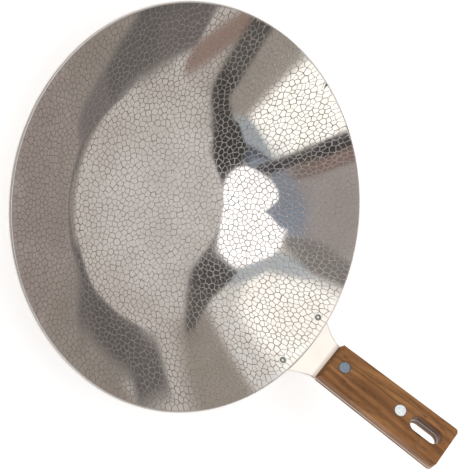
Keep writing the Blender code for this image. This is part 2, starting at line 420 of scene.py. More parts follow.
def hand_over(obj: bpy.types.Object, node: str) -> None:
    """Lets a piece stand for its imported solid.

    Args:
        obj: The piece.
        node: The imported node.
    """
    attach(obj, "root")
    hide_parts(node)
    obj.data.calc_loop_triangles()
    LOG.info("%s: %d triangles, for %s", obj.name, len(obj.data.loop_triangles), node)


# Shader helpers


def add_node(tree: bpy.types.NodeTree, kind: str, **values: object) -> bpy.types.Node:
    """Adds a node and sets its properties.

    Args:
        tree: The node tree.
        kind: The node's type.
        values: Properties by name.

    Returns:
        The node.
    """
    node = tree.nodes.new(kind)
    for key, value in values.items():
        setattr(node, key, value)
    return node


def group_with(name: str, inputs: dict[str, str], outputs: dict[str, str]) -> bpy.types.NodeTree:
    """Starts a shader node group.

    Args:
        name: The group's name.
        inputs: Socket types by name.
        outputs: Socket types by name.

    Returns:
        The group's node tree, with its input and output nodes.
    """
    tree = bpy.data.node_groups.new(name, "ShaderNodeTree")
    for key, kind in inputs.items():
        tree.interface.new_socket(name=key, in_out="INPUT", socket_type=kind)
    for key, kind in outputs.items():
        tree.interface.new_socket(name=key, in_out="OUTPUT", socket_type=kind)
    tree.nodes.new("NodeGroupInput")
    tree.nodes.new("NodeGroupOutput")
    return tree


def ends(tree: bpy.types.NodeTree) -> tuple[bpy.types.Node, bpy.types.Node]:
    """Finds the input node and the output node of a group's tree."""
    return tree.nodes["Group Input"], tree.nodes["Group Output"]


def link(tree: bpy.types.NodeTree, source: object, target: object) -> None:
    """Joins an output socket to an input socket."""
    tree.links.new(source, target)


def span(
    tree: bpy.types.NodeTree, value: object, low: float, high: float, to: tuple[float, float] = (0.0, 1.0)
) -> object:
    """Maps a value from one range to another with soft ends.

    Args:
        tree: The node tree.
        value: The output socket to read.
        low: The value that gives the first result.
        high: The value that gives the second result.
        to: The two results.

    Returns:
        The mapped output socket.
    """
    node = add_node(tree, "ShaderNodeMapRange", interpolation_type="SMOOTHSTEP")
    node.inputs["From Min"].default_value = low
    node.inputs["From Max"].default_value = high
    node.inputs["To Min"].default_value = to[0]
    node.inputs["To Max"].default_value = to[1]
    link(tree, value, node.inputs["Value"])
    return node.outputs["Result"]


def math_node(tree: bpy.types.NodeTree, operation: str, first: object, second: object) -> object:
    """Joins two values with one operation.

    Args:
        tree: The node tree.
        operation: The math node's operation.
        first: A socket or a number.
        second: A socket or a number.

    Returns:
        The output socket.
    """
    node = add_node(tree, "ShaderNodeMath", operation=operation)
    for value, socket in ((first, node.inputs[0]), (second, node.inputs[1])):
        if isinstance(value, (int, float)):
            socket.default_value = value
        else:
            link(tree, value, socket)
    return node.outputs[0]


def mix_colour(tree: bpy.types.NodeTree, factor: object, first: object, second: object) -> object:
    """Mixes two colours.

    Args:
        tree: The node tree.
        factor: A socket or a number, 0 for the first colour.
        first: A socket or an RGB triple.
        second: A socket or an RGB triple.

    Returns:
        The colour output socket.
    """
    node = add_node(tree, "ShaderNodeMix", data_type="RGBA")
    for value, socket in ((factor, node.inputs[0]), (first, node.inputs[6]), (second, node.inputs[7])):
        if isinstance(value, tuple):
            socket.default_value = (*value, 1.0)
        elif isinstance(value, (int, float)):
            socket.default_value = value
        else:
            link(tree, value, socket)
    return node.outputs[2]


def noise(
    tree: bpy.types.NodeTree, vector: object, scale: float, detail: float = 3.0, distortion: float = 0.0
) -> object:
    """Adds a noise texture.

    Args:
        tree: The node tree.
        vector: The coordinates to read.
        scale: Features for each metre.
        detail: Octaves.
        distortion: How far the pattern is bent.

    Returns:
        The factor output socket.
    """
    node = add_node(tree, "ShaderNodeTexNoise")
    node.inputs["Scale"].default_value = scale
    node.inputs["Detail"].default_value = detail
    node.inputs["Distortion"].default_value = distortion
    link(tree, vector, node.inputs["Vector"])
    return node.outputs["Fac"]


def object_coordinates(tree: bpy.types.NodeTree) -> object:
    """Adds a node with the object's own coordinates and gives that socket."""
    return add_node(tree, "ShaderNodeTexCoord").outputs["Object"]


def mapped(
    tree: bpy.types.NodeTree, vector: object, scale: tuple[float, float, float], turn: float = 0.0
) -> object:
    """Turns coordinates about Y and then scales them.

    Args:
        tree: The node tree.
        vector: The coordinates to read.
        scale: Factor along each axis.
        turn: Angle about Y in radians.

    Returns:
        The vector output socket.
    """
    if turn:
        turning = add_node(tree, "ShaderNodeMapping")
        turning.inputs["Rotation"].default_value = (0.0, turn, 0.0)
        link(tree, vector, turning.inputs["Vector"])
        vector = turning.outputs["Vector"]
    node = add_node(tree, "ShaderNodeMapping")
    node.inputs["Scale"].default_value = scale
    link(tree, vector, node.inputs["Vector"])
    return node.outputs["Vector"]


class SurfaceEffects:
    """Node groups that several materials share."""

    def __init__(self) -> None:
        """Makes the groups."""
        self.scuffs = self.make_scuffs()
        self.grain = self.make_grain()

    @staticmethod
    def make_scuffs() -> bpy.types.NodeTree:
        """Makes faint polishing marks and cloudy patches for steel.

        Returns:
            The group: Patches and Marks run from 0 to 1.
        """
        outputs = {"Patches": "NodeSocketFloat", "Marks": "NodeSocketFloat"}
        tree = group_with("scuffs", {"Vector": "NodeSocketVector"}, outputs)
        source, target = ends(tree)
        patches = noise(tree, source.outputs["Vector"], 38.0, 4.0, 0.4)
        link(tree, span(tree, patches, 0.36, 0.66), target.inputs["Patches"])
        fine = noise(tree, mapped(tree, source.outputs["Vector"], (90.0, 1600.0, 1600.0)), 1.0, 3.0)
        link(tree, span(tree, fine, 0.52, 0.74), target.inputs["Marks"])
        return tree

    @staticmethod
    def make_grain() -> bpy.types.NodeTree:
        """Makes wood grain along the X axis of the given coordinates.

        Returns:
            The group: Streaks, Patches, Pores and Bump run from 0 to 1.
        """
        outputs = dict.fromkeys(("Streaks", "Patches", "Pores", "Bump"), "NodeSocketFloat")
        tree = group_with("grain", {"Vector": "NodeSocketVector"}, outputs)
        source, target = ends(tree)
        vector = source.outputs["Vector"]
        bend = noise(tree, mapped(tree, vector, (24.0, 90.0, 90.0)), 1.0, 2.0)
        lift = add_node(tree, "ShaderNodeVectorMath", operation="MULTIPLY_ADD")
        combined = add_node(tree, "ShaderNodeCombineXYZ")
        link(tree, bend, combined.inputs["Y"])
        link(tree, combined.outputs["Vector"], lift.inputs[0])
        lift.inputs[1].default_value = (0.0, 0.006, 0.0)
        link(tree, vector, lift.inputs[2])
        bent = lift.outputs["Vector"]
        streaks = noise(tree, mapped(tree, bent, (13.0, 330.0, 330.0)), 1.0, 5.0, 0.2)
        link(tree, span(tree, streaks, 0.34, 0.68), target.inputs["Streaks"])
        patches = noise(tree, mapped(tree, bent, (22.0, 75.0, 75.0)), 1.0, 3.0, 0.5)
        link(tree, span(tree, patches, 0.36, 0.66), target.inputs["Patches"])
        pores = noise(tree, mapped(tree, bent, (210.0, 2300.0, 2300.0)), 1.0, 1.0)
        gather = noise(tree, mapped(tree, bent, (60.0, 300.0, 300.0)), 1.0, 1.0)
        dashes = math_node(tree, "MULTIPLY", span(tree, pores, 0.585, 0.66), span(tree, gather, 0.40, 0.60))
        link(tree, dashes, target.inputs["Pores"])
        height = math_node(tree, "SUBTRACT", math_node(tree, "MULTIPLY", streaks, 0.5), dashes)
        link(tree, height, target.inputs["Bump"])
        return tree


def use_group(tree: bpy.types.NodeTree, group: bpy.types.NodeTree, vector: object) -> bpy.types.Node:
    """Places a shared group in a material.

    Args:
        tree: The material's node tree.
        group: The shared group.
        vector: The coordinates it reads.

    Returns:
        The group node.
    """
    node = add_node(tree, "ShaderNodeGroup", node_tree=group)
    link(tree, vector, node.inputs["Vector"])
    return node


def new_material(name: str, metallic: float) -> tuple[bpy.types.Material, bpy.types.NodeTree, bpy.types.Node]:
    """Starts a material.

    Args:
        name: The material's name.
        metallic: 1 for bare metal.

    Returns:
        The material, its node tree and its shader.
    """
    material = bpy.data.materials.new(name)
    material.use_nodes = True
    shader = material.node_tree.nodes["Principled BSDF"]
    shader.inputs["Metallic"].default_value = metallic
    return material, material.node_tree, shader


def add_bump(
    tree: bpy.types.NodeTree, shader: bpy.types.Node, height: object, strength: float, distance: float
) -> None:
    """Gives the shader a bump.

    Args:
        tree: The material's node tree.
        shader: The shader.
        height: The height socket, 0 to 1.
        strength: Strength of the effect.
        distance: Height in metres that 1 stands for.
    """
    bump = add_node(tree, "ShaderNodeBump")
    bump.inputs["Strength"].default_value = strength
    bump.inputs["Distance"].default_value = distance
    link(tree, height, bump.inputs["Height"])
    link(tree, bump.outputs["Normal"], shader.inputs["Normal"])


@dataclass(frozen=True)
class PatternedSteel:
    """Mirror-like cell tops with rough, duller grooves between them."""

    top: tuple[float, float, float] = (0.80, 0.765, 0.735)
    cloudy: tuple[float, float, float] = (0.73, 0.69, 0.655)
    groove: tuple[float, float, float] = (0.42, 0.38, 0.35)
    polish: float = 0.05
    dull: float = 0.09
    groove_roughness: float = 0.58

    def make(self, effects: SurfaceEffects) -> bpy.types.Material:
        """Makes the material, which reads the mesh's groove attribute.

        Args:
            effects: The shared node groups.

        Returns:
            The material.
        """
        material, tree, shader = new_material("patterned_steel", 1.0)
        scuffs = use_group(tree, effects.scuffs, object_coordinates(tree))
        attribute = add_node(tree, "ShaderNodeAttribute", attribute_name="groove")
        groove = span(tree, attribute.outputs["Fac"], 0.10, 0.72)
        top = mix_colour(tree, scuffs.outputs["Patches"], self.top, self.cloudy)
        link(tree, mix_colour(tree, groove, top, self.groove), shader.inputs["Base Color"])
        base = span(tree, scuffs.outputs["Patches"], 0.0, 1.0, (self.polish, self.dull))
        rough = math_node(tree, "MULTIPLY", groove, self.groove_roughness)
        link(tree, math_node(tree, "MAXIMUM", base, rough), shader.inputs["Roughness"])
        return material


@dataclass(frozen=True)
class SatinSteel:
    """Plain steel with faint marks and cloudy patches; on the bracket, painted shade and painted reflection
    of the wood from the wood's front on, and darker painted shade on the tang's wall in the slot.
    """

    name: str = "satin_steel"
    colour: tuple[float, float, float] = (0.72, 0.69, 0.66)
    cloudy: tuple[float, float, float] = (0.62, 0.59, 0.565)
    roughness: tuple[float, float] = (0.24, 0.36)
    marks: float = 0.25
    # painted shade under the grip, which also stands for the wood's reflection in the steel
    painted_shade_under_grip: tuple[float, float, float] | None = None
    # painted shade on the tang's wall inside the slot
    painted_shade_in_slot: tuple[float, float, float] = (0.15, 0.12, 0.10)
    pitch: float = GRIP_PITCH
    grip_front: tuple[float, float] = (0.1490, 0.1528)  # where the painted shade starts, along the grip's pitch
    slot_from: tuple[float, float] = (0.1600, 0.1620)  # where the painted shade in the slot starts, likewise
    slot_aside: tuple[float, float] = (0.0125, 0.0145)  # where that painted shade ends, to either side

    def make(self, effects: SurfaceEffects) -> bpy.types.Material:
        """Makes the material.

        Args:
            effects: The shared node groups.

        Returns:
            The material.
        """
        material, tree, shader = new_material(self.name, 1.0)
        scuffs = use_group(tree, effects.scuffs, object_coordinates(tree))
        marks_then_painted_shade = math_node(tree, "MULTIPLY", scuffs.outputs["Marks"], self.marks)
        patches = math_node(tree, "MULTIPLY", scuffs.outputs["Patches"], 0.6)
        factor = math_node(tree, "MAXIMUM", patches, marks_then_painted_shade)
        colour = mix_colour(tree, factor, self.colour, self.cloudy)
        if self.painted_shade_under_grip is not None:
            along = add_node(tree, "ShaderNodeVectorMath", operation="DOT_PRODUCT")
            link(tree, object_coordinates(tree), along.inputs[0])
            along.inputs[1].default_value = (math.cos(self.pitch), 0.0, math.sin(self.pitch))
            # painted shade and painted reflection: the steel darkens from just before the wood's front on, so
            # the tang shows shaded between the scales
            marks_then_painted_shade = span(tree, along.outputs["Value"], *self.grip_front)
            colour = mix_colour(tree, marks_then_painted_shade, colour, self.painted_shade_under_grip)
            # painted shade in the slot: darker within the slot's width, beyond where it starts
            place = add_node(tree, "ShaderNodeSeparateXYZ")
            link(tree, object_coordinates(tree), place.inputs[0])
            aside = math_node(tree, "ABSOLUTE", place.outputs["Y"], 0.0)
            middle = span(tree, aside, *self.slot_aside, (1.0, 0.0))
            inside = span(tree, along.outputs["Value"], *self.slot_from)
            colour = mix_colour(tree, math_node(tree, "MULTIPLY", middle, inside), colour, self.painted_shade_in_slot)
        link(tree, colour, shader.inputs["Base Color"])
        link(tree, span(tree, factor, 0.0, 0.8, self.roughness), shader.inputs["Roughness"])
        return material


@dataclass(frozen=True)
class SpeckledSteel:
    """Rivet steel with fine grey specks, and painted shade where the mesh's ring attribute marks the ring
    groove.
    """

    name: str
    colour: tuple[float, float, float]
    speck: tuple[float, float, float]
    roughness: float
    # painted shade in the ring groove
    ring: tuple[float, float, float] = (0.30, 0.27, 0.25)

    def make(self, effects: SurfaceEffects) -> bpy.types.Material:
        """Makes the material.

        Args:
            effects: The shared node groups.

        Returns:
            The material.
        """
        material, tree, shader = new_material(self.name, 1.0)
        vector = object_coordinates(tree)
        scuffs = use_group(tree, effects.scuffs, vector)
        specks = span(tree, noise(tree, vector, 1500.0, 2.0), 0.50, 0.66)
        both = math_node(tree, "MAXIMUM", specks, math_node(tree, "MULTIPLY", scuffs.outputs["Patches"], 0.4))
        # the ring attribute lays painted shade over the ring groove
        attribute = add_node(tree, "ShaderNodeAttribute", attribute_name="ring")
        plain = mix_colour(tree, both, self.colour, self.speck)
        link(tree, mix_colour(tree, attribute.outputs["Fac"], plain, self.ring), shader.inputs["Base Color"])
        shader.inputs["Roughness"].default_value = self.roughness
        add_bump(tree, shader, specks, 0.3, 0.00003)
        return material


@dataclass(frozen=True)
class OiledWood:
    """Brown hardwood with streaks, warm patches and short dark pores along the grip."""

    name: str = "oiled_wood"
    pitch: float = GRIP_PITCH
    middle: tuple[float, float, float] = (0.400, 0.162, 0.042)
    light: tuple[float, float, float] = (0.530, 0.245, 0.075)
    dark: tuple[float, float, float] = (0.175, 0.070, 0.022)
    pore: tuple[float, float, float] = (0.080, 0.034, 0.014)
    roughness: tuple[float, float] = (0.42, 0.60)

    def make(self, effects: SurfaceEffects) -> bpy.types.Material:
        """Makes the material, whose grain runs along the grip's length.

        Args:
            effects: The shared node groups.

        Returns:
            The material.
        """
        material, tree, shader = new_material(self.name, 0.0)
        vector = mapped(tree, object_coordinates(tree), (1.0, 1.0, 1.0), self.pitch)
        grain = use_group(tree, effects.grain, vector)
        warm = mix_colour(tree, grain.outputs["Patches"], self.middle, self.light)
        streaks = math_node(tree, "MULTIPLY", grain.outputs["Streaks"], 0.8)
        pores = math_node(tree, "MULTIPLY", grain.outputs["Pores"], 0.8)
        colour = mix_colour(tree, pores, mix_colour(tree, streaks, warm, self.dark), self.pore)
        link(tree, colour, shader.inputs["Base Color"])
        link(tree, span(tree, grain.outputs["Streaks"], 0.0, 1.0, self.roughness), shader.inputs["Roughness"])
        shader.inputs["Specular IOR Level"].default_value = 0.4
        add_bump(tree, shader, grain.outputs["Bump"], 0.35, 0.00012)
        return material


# Pieces


@dataclass(frozen=True)
class CellOutlines:
    """The crackle cells' corners in the flat blank, and the way round each cell."""

    flat: np.ndarray  # x and y of each corner
    angle: np.ndarray  # azimuth of each corner
    on_edge: np.ndarray  # whether the corner is on the blank's edge
    rim: np.ndarray  # the corners on the edge, in order round it
    owner: np.ndarray  # the cell of each step round a cell
    corner: np.ndarray  # the corner that the step starts from


class Bowl:
    """The pressed bowl with its crackle pattern inside."""

    OUTER_STEPS = 22
    EDGE_RADIUS = 0.0005
    SHARP_ABOVE = 40.0  # degrees
    TOP_GROOVE = 0.05  # the groove attribute is below this on a cell's top
    TOP_BAND = 0.00012  # how far a cell's top may stand off the smooth wall
    INNERMOST = 0.002  # the stretch is read no nearer the middle
    EDGE_SHARE = 0.3  # of the rings' step, which the seeds keep from the edge
    TABLE_STEPS = 600
    PROFILE_STEPS = 2000

    def __init__(self, wall: WallSizes, crackle: CrackleSizes) -> None:
        """Keeps the sizes and tabulates where each point of the flat blank comes to lie.

        On the wall the logarithm of the blank's radius grows by the length along the wall over
        (radius * k), where k rises evenly from 1 to the rim's stretch, so a round cell of the blank
        becomes k times longer than wide.

        Args:
            wall: The sheet's sizes.
            crackle: The pattern's sizes.
        """
        self.wall = wall
        self.crackle = crackle
        self.end = wall.face_length(-wall.sheet) - crackle.margin
        length = np.linspace(wall.base_radius, self.end, self.TABLE_STEPS)
        radius = wall.on_face(length, -wall.sheet)[0]
        share = (length - wall.base_radius) / (self.end - wall.base_radius)
        rate = 1 / (radius * (1 + (crackle.rim_stretch - 1) * share))
        grown = np.concatenate([[0.0], np.cumsum((rate[1:] + rate[:-1]) / 2 * np.diff(length))])
        self.table_length = np.concatenate([[0.0], length])
        self.table_blank = np.concatenate([[0.0], wall.base_radius * np.exp(grown)])
        self.edge = float(self.table_blank[-1])

    def stretch(self, blank: float) -> tuple[float, float]:
        """How the blank's pattern is stretched when it is pressed.

        Args:
            blank: Distance from the middle in the flat blank.

        Returns:
            The growth along the radius and round the axis.
        """
        length = float(np.interp(blank, self.table_blank, self.table_length))
        step = 1e-4
        ahead = float(np.interp(blank + step, self.table_blank, self.table_length))
        behind = float(np.interp(blank - step, self.table_blank, self.table_length))
        radius = float(self.wall.on_face(np.array(length), -self.wall.sheet)[0])
        width = min(blank + step, self.edge) - max(blank - step, 0.0)
        return (ahead - behind) / width, radius / max(blank, 1e-6)

    def seeds(self) -> np.ndarray:
        """Spreads the cells' middles over the flat blank on jittered rings.

        A cell's area in the blank is the pressed area over the stretch both ways, and the rings are
        sqrt(area * sqrt(3) / 2) apart, as in a honeycomb.

        Returns:
            Rows of x and y.
        """
        rng = np.random.default_rng(self.crackle.seed)
        rings = []
        blank = 0.0
        while blank < self.edge:
            along, round_axis = self.stretch(max(blank, self.INNERMOST))
            area = self.crackle.cell_area / (along * round_axis)
            step = math.sqrt(area * math.sqrt(3) / 2)
            count = max(1, round(2 * math.pi * blank * step / area))
            angle = (np.arange(count) + rng.uniform()) * 2 * math.pi / count
            radius = blank + self.crackle.jitter * step * rng.uniform(-1.0, 1.0, count)
            angle = angle + self.crackle.jitter * step * rng.uniform(-1.1, 1.1, count) / max(blank, step)
            radius = np.minimum(np.abs(radius), self.edge - self.EDGE_SHARE * step)
            rings.append(np.stack([radius * np.cos(angle), radius * np.sin(angle)], axis=-1))
            blank += step
        return np.concatenate(rings)

    def cells(self, seeds: np.ndarray) -> tuple[np.ndarray, np.ndarray, np.ndarray]:
        """Finds the corners of each seed's cell, the middles of the circles through three seeds.

        From seed a, the middle is (|ab|^2 ac - |ac|^2 ab), turned clockwise by a quarter, over twice
        the cross product of ab and ac. Seeds near the edge are mirrored outside it, so that the
        cells end on the edge.

        Args:
            seeds: Rows of x and y.

        Returns:
            Three seeds for each corner, the corners' places, and whether each is on the edge.
        """
        radius = np.hypot(seeds[:, 0], seeds[:, 1])
        near = radius > self.edge - self.crackle.mirrored_strip
        mirrored = seeds[near] * ((2 * self.edge - radius[near]) / radius[near])[:, None]
        points = np.concatenate([seeds, mirrored]) * 1000  # in millimetres, for the triangulation
        found = delaunay_2d_cdt([tuple(point) for point in points], [], [], 0, 1e-7)
        triangles = np.array(found[2])
        origin = np.array([items[0] for items in found[3]])
        triangles = origin[triangles]
        a, b, c = (points[triangles[:, k]] for k in range(3))
        ab, ac = b - a, c - a
        cross = 2 * (ab[:, 0] * ac[:, 1] - ab[:, 1] * ac[:, 0])
        ab2, ac2 = (ab**2).sum(axis=1), (ac**2).sum(axis=1)
        x = (ac[:, 1] * ab2 - ab[:, 1] * ac2) / cross
        y = (ab[:, 0] * ac2 - ac[:, 0] * ab2) / cross
        centres = (a + np.stack([x, y], axis=-1)) / 1000
        return triangles, centres, (triangles >= len(seeds)).any(axis=1)

    def relaxed_seeds(self) -> np.ndarray:
        """Moves each seed part of the way to the middle of its cell's corners.

        Returns:
            Rows of x and y.
        """
        seeds = self.seeds()
        triangles, centres, _ = self.cells(seeds)
        owner = triangles.ravel()
        corner = np.repeat(centres, 3, axis=0)
        own = owner < len(seeds)
        count = np.bincount(owner[own], minlength=len(seeds))
        middle = [np.bincount(owner[own], corner[own, k], len(seeds)) / count for k in (0, 1)]
        return seeds + self.crackle.relax * (np.stack(middle, axis=-1) - seeds)

    def pressed(self, flat: np.ndarray, height: np.ndarray) -> np.ndarray:
        """Carries points of the flat blank to the bowl's inner face.

        Args:
            flat: Rows of x and y in the blank.
            height: How far each point stands above the inner face.

        Returns:
            Rows of x, y and z.
        """
        blank = np.hypot(flat[:, 0], flat[:, 1])
        length = np.interp(blank, self.table_blank, self.table_length)
        radius, z, slope = self.wall.on_face(length, -self.wall.sheet)
        radius = radius - height * np.sin(slope)
        scale = (radius / np.maximum(blank, 1e-9))[:, None]
        return np.concatenate([flat * scale, (z + height * np.cos(slope))[:, None]], axis=1)

    def outlines(self, seeds: np.ndarray) -> CellOutlines:
        """Orders the corners round each cell.

        Corners on the edge go onto the edge's circle, and those that then coincide become one.

        Args:
            seeds: Rows of x and y.

        Returns:
            The corners and the way round each cell.
        """
        triangles, centres, on_edge = self.cells(seeds)
        owner = triangles.ravel()
        corner = np.repeat(np.arange(len(triangles)), 3)
        own = owner < len(seeds)
        owner, corner = owner[own], corner[own]

        angle = np.arctan2(centres[:, 1], centres[:, 0])
        circle = self.edge * np.stack([np.cos(angle), np.sin(angle)], axis=-1)
        flat = np.where(on_edge[:, None], circle, centres)
        used = np.zeros(len(triangles), bool)
        used[corner] = True
        rim = np.flatnonzero(on_edge & used)
        rim = rim[np.argsort(angle[rim])]
        gap = np.diff(angle[rim], prepend=angle[rim[0]] - 1.0)
        fresh = gap > self.crackle.merged / self.edge
        label = np.arange(len(triangles))
        label[rim] = rim[np.maximum.accumulate(np.where(fresh, np.arange(len(rim)), 0))]
        corner = label[corner]

        toward = flat[corner] - seeds[owner]
        order = np.lexsort((np.arctan2(toward[:, 1], toward[:, 0]), owner))
        owner, corner = owner[order], corner[order]
        keep = corner != corner[self.next_in_cell(owner)]
        return CellOutlines(flat, angle, on_edge, rim[fresh], owner[keep], corner[keep])

    def cell_points(
        self, cells: CellOutlines, middle: np.ndarray, names: np.ndarray
    ) -> tuple[list[np.ndarray], list[np.ndarray]]:
        """Finds the cells' points: the corners down in the groove, a ring on the shoulder and one at
        the flat top, and the middles.

        A ring draws in the corner's distance d to (m + f (d - m)) (1 - w / a), where m is the cell's
        mean distance, f how far the ring follows the corners, w the ring's distance from the groove
        and a the cell's mean distance to its sides. Each cell is tilted a little its own way.

        Args:
            cells: The corners and the way round each cell.
            middle: The cells' middles in the flat blank.
            names: The corners that are used.

        Returns:
            The points and the groove attribute of the corners, of both rings and of the middles.
        """
        size = self.crackle
        owner, corner = cells.owner, cells.corner
        reach = cells.flat[corner] - middle[owner]
        distance = np.hypot(reach[:, 0], reach[:, 1])
        count = np.bincount(owner, minlength=len(middle))
        mean = (np.bincount(owner, distance, len(middle)) / count)[owner]
        apothem, beyond = size.apothem * mean, distance - mean
        shoulder = (mean + size.shoulder_follows * beyond) / distance * (1 - size.shoulder / apothem)
        plateau = (mean + size.plateau_follows * beyond) / distance * (1 - size.plateau / apothem)
        rng = np.random.default_rng(size.seed + 1)
        tilt = rng.normal(0.0, size.tilt, (len(middle), 2))[owner]

        on_edge = cells.on_edge[names]
        parts = [self.pressed(cells.flat[names], np.where(on_edge, 0.0, -size.groove_depth))]
        masks = [np.where(on_edge, 0.0, 1.0)]
        rings = ((shoulder, size.shoulder_drop, size.shoulder_groove), (plateau, 0.0, 0.0))
        for share, drop, mask in rings:
            offset = reach * share[:, None]
            parts.append(self.pressed(middle[owner] + offset, (offset * tilt).sum(axis=1) - drop))
            masks.append(np.full(len(owner), mask))
        parts.append(self.pressed(middle, np.zeros(len(middle))))
        masks.append(np.zeros(len(middle)))
        return parts, masks

    def mesh(self) -> bpy.types.Object:
        """Builds the bowl: the cells with the grooves between them, and the rim's edge, the outer
        wall and the base as rings.

        Returns:
            The object.
        """
        seeds = self.relaxed_seeds()
        cells = self.outlines(seeds)
        owner, corner, rim = cells.owner, cells.corner, cells.rim
        count = np.bincount(owner, minlength=len(seeds))
        middle = [np.bincount(owner, cells.flat[corner, k], len(seeds)) / count for k in (0, 1)]
        names = np.unique(np.concatenate([corner, rim]))
        number = np.full(len(cells.flat), -1)
        number[names] = np.arange(len(names))
        parts, masks = self.cell_points(cells, np.stack(middle, axis=-1), names)

        following = self.next_in_cell(owner)
        first = number[corner]
        second = len(names) + np.arange(len(owner))
        third = second + len(owner)
        centre = len(names) + 2 * len(owner) + owner
        quads = [
            np.stack([first, first[following], second[following], second], axis=-1),
            np.stack([second, second[following], third[following], third], axis=-1),
        ]
        fan = np.stack([third, third[following], centre], axis=-1)

        count_inside = sum(len(part) for part in parts)
        shell, shell_quads, shell_fan = self.shell(cells.angle[rim], number[rim], count_inside)
        points = np.concatenate([*parts, shell])
        mask = np.concatenate([*masks, np.zeros(len(shell))])
        obj = mesh_object("patterned_bowl", points, [*quads, fan, shell_quads, shell_fan])
        attribute = obj.data.attributes.new("groove", "FLOAT", "POINT")
        attribute.data.foreach_set("value", mask.astype(np.float32))
        plain = np.zeros(len(obj.data.polygons), np.int32)
        plain[len(plain) - len(shell_quads) - len(shell_fan):] = 1
        obj.data.polygons.foreach_set("material_index", plain)
        LOG.info("crackle pattern: %d cells", len(seeds))
        return obj

    @staticmethod
    def next_in_cell(owner: np.ndarray) -> np.ndarray:
        """Finds the corner that follows each corner round its cell.

        Args:
            owner: The cell of each corner, in order.

        Returns:
            The number of the following corner.
        """
        starts = np.searchsorted(owner, owner, side="left")
        following = np.arange(len(owner)) + 1
        last = np.searchsorted(owner, owner, side="right")
        return np.where(following == last, starts, following)

    def shell(
        self, angle: np.ndarray, rim: np.ndarray, first: int
    ) -> tuple[np.ndarray, np.ndarray, np.ndarray]:
        """Builds the rings from the last cells over the rim and down the outside to the base.

        Args:
            angle: Azimuth of each column.
            rim: Vertex numbers of the cells' edge, one for each column.
            first: The number of the first new vertex.

        Returns:
            The new points, their quads and the triangles round the base's middle.
        """
        wall = self.wall
        profile = self.outer_profile()
        columns = len(angle)
        radius, height = profile[:-1, 0], profile[:-1, 1]
        x = radius[:, None] * np.cos(angle)
        y = radius[:, None] * np.sin(angle)
        z = np.broadcast_to(height[:, None], x.shape)
        points = np.stack([x, y, z], axis=-1).reshape(-1, 3)
        points = np.concatenate([points, [[0.0, 0.0, float(profile[-1, 1])]]])
        numbers = first + np.arange(len(radius) * columns).reshape(len(radius), columns)
        numbers = np.concatenate([rim[None, :], numbers])
        turned_on = np.roll(numbers, -1, axis=1)
        quads = np.stack([numbers[:-1], numbers[1:], turned_on[1:], turned_on[:-1]], axis=-1)
        last, pole = numbers[-1], first + len(points) - 1
        fan = np.stack([last, np.full(columns, pole), np.roll(last, -1)], axis=-1)
        LOG.info("rim: %d columns, base radius %.1f mm", columns, wall.base_radius / MM)
        return points, quads.reshape(-1, 4), fan

    def outer_profile(self) -> np.ndarray:
        """Lists the profile from the last cells over the rounded rim edge to the base's middle.

        Returns:
            Rows of radius and height.
        """
        wall, edge = self.wall, self.EDGE_RADIUS
        turn = np.linspace(0.0, math.pi / 2, 5)
        back = edge / wall.wall_radius
        quarter = wall.rim_angle - back * (1 - np.sin(turn))
        inner = np.stack(wall.point(quarter, -wall.sheet + edge * (1 - np.cos(turn))), axis=-1)
        outer = np.stack(wall.point(quarter[::-1], -edge * (1 - np.cos(turn[::-1]))), axis=-1)
        slopes = np.linspace(wall.rim_angle, 0.0, self.OUTER_STEPS)[1:]
        side = np.stack(wall.point(slopes, 0.0), axis=-1)
        base = np.stack([np.linspace(wall.base_radius, 0.0, 6)[1:], np.zeros(5)], axis=-1)
        return np.concatenate([inner, outer, side, base])

    def polish_tops(self, obj: bpy.types.Object) -> None:
        """Gives the cells' tops the smooth wall's own normals, (-sin s cos a, -sin s sin a, cos s) at
        slope s and azimuth a, so that they mirror as one even surface.

        Args:
            obj: The bowl.
        """
        mesh, wall = obj.data, self.wall
        count = len(mesh.vertices)
        points, groove = np.empty(count * 3, np.float32), np.empty(count, np.float32)
        mesh.vertices.foreach_get("co", points)
        mesh.attributes["groove"].data.foreach_get("value", groove)
        x, y, z = points.reshape(-1, 3).astype(float).T
        slopes = np.linspace(0.0, wall.rim_angle, self.PROFILE_STEPS)
        radii, heights = wall.point(slopes, -wall.sheet)
        radius = np.hypot(x, y)
        slope = np.interp(radius, radii, slopes, left=0.0)
        above = z - np.interp(radius, radii, heights, left=wall.sheet)
        top = (groove < self.TOP_GROOVE) & (np.abs(above) < self.TOP_BAND)
        top &= radius < radii[-1] - self.EDGE_RADIUS
        side = np.sin(slope) / np.maximum(radius, 1e-9)
        normals = np.stack([-side * x, -side * y, np.cos(slope)], axis=-1)
        mesh.normals_split_custom_set_from_vertices(np.where(top[:, None], normals, 0.0).tolist())

    def dress(self, obj: bpy.types.Object, inside: bpy.types.Material, outside: bpy.types.Material) -> None:
        """Gives the bowl its finishes and lets it stand for its solid.

        Args:
            obj: The bowl.
            inside: The patterned steel.
            outside: The plain steel.
        """
        obj.data.materials.append(inside)
        obj.data.materials.append(outside)
        smooth(obj, self.SHARP_ABOVE)
        self.polish_tops(obj)
        hand_over(obj, "pan_bowl")


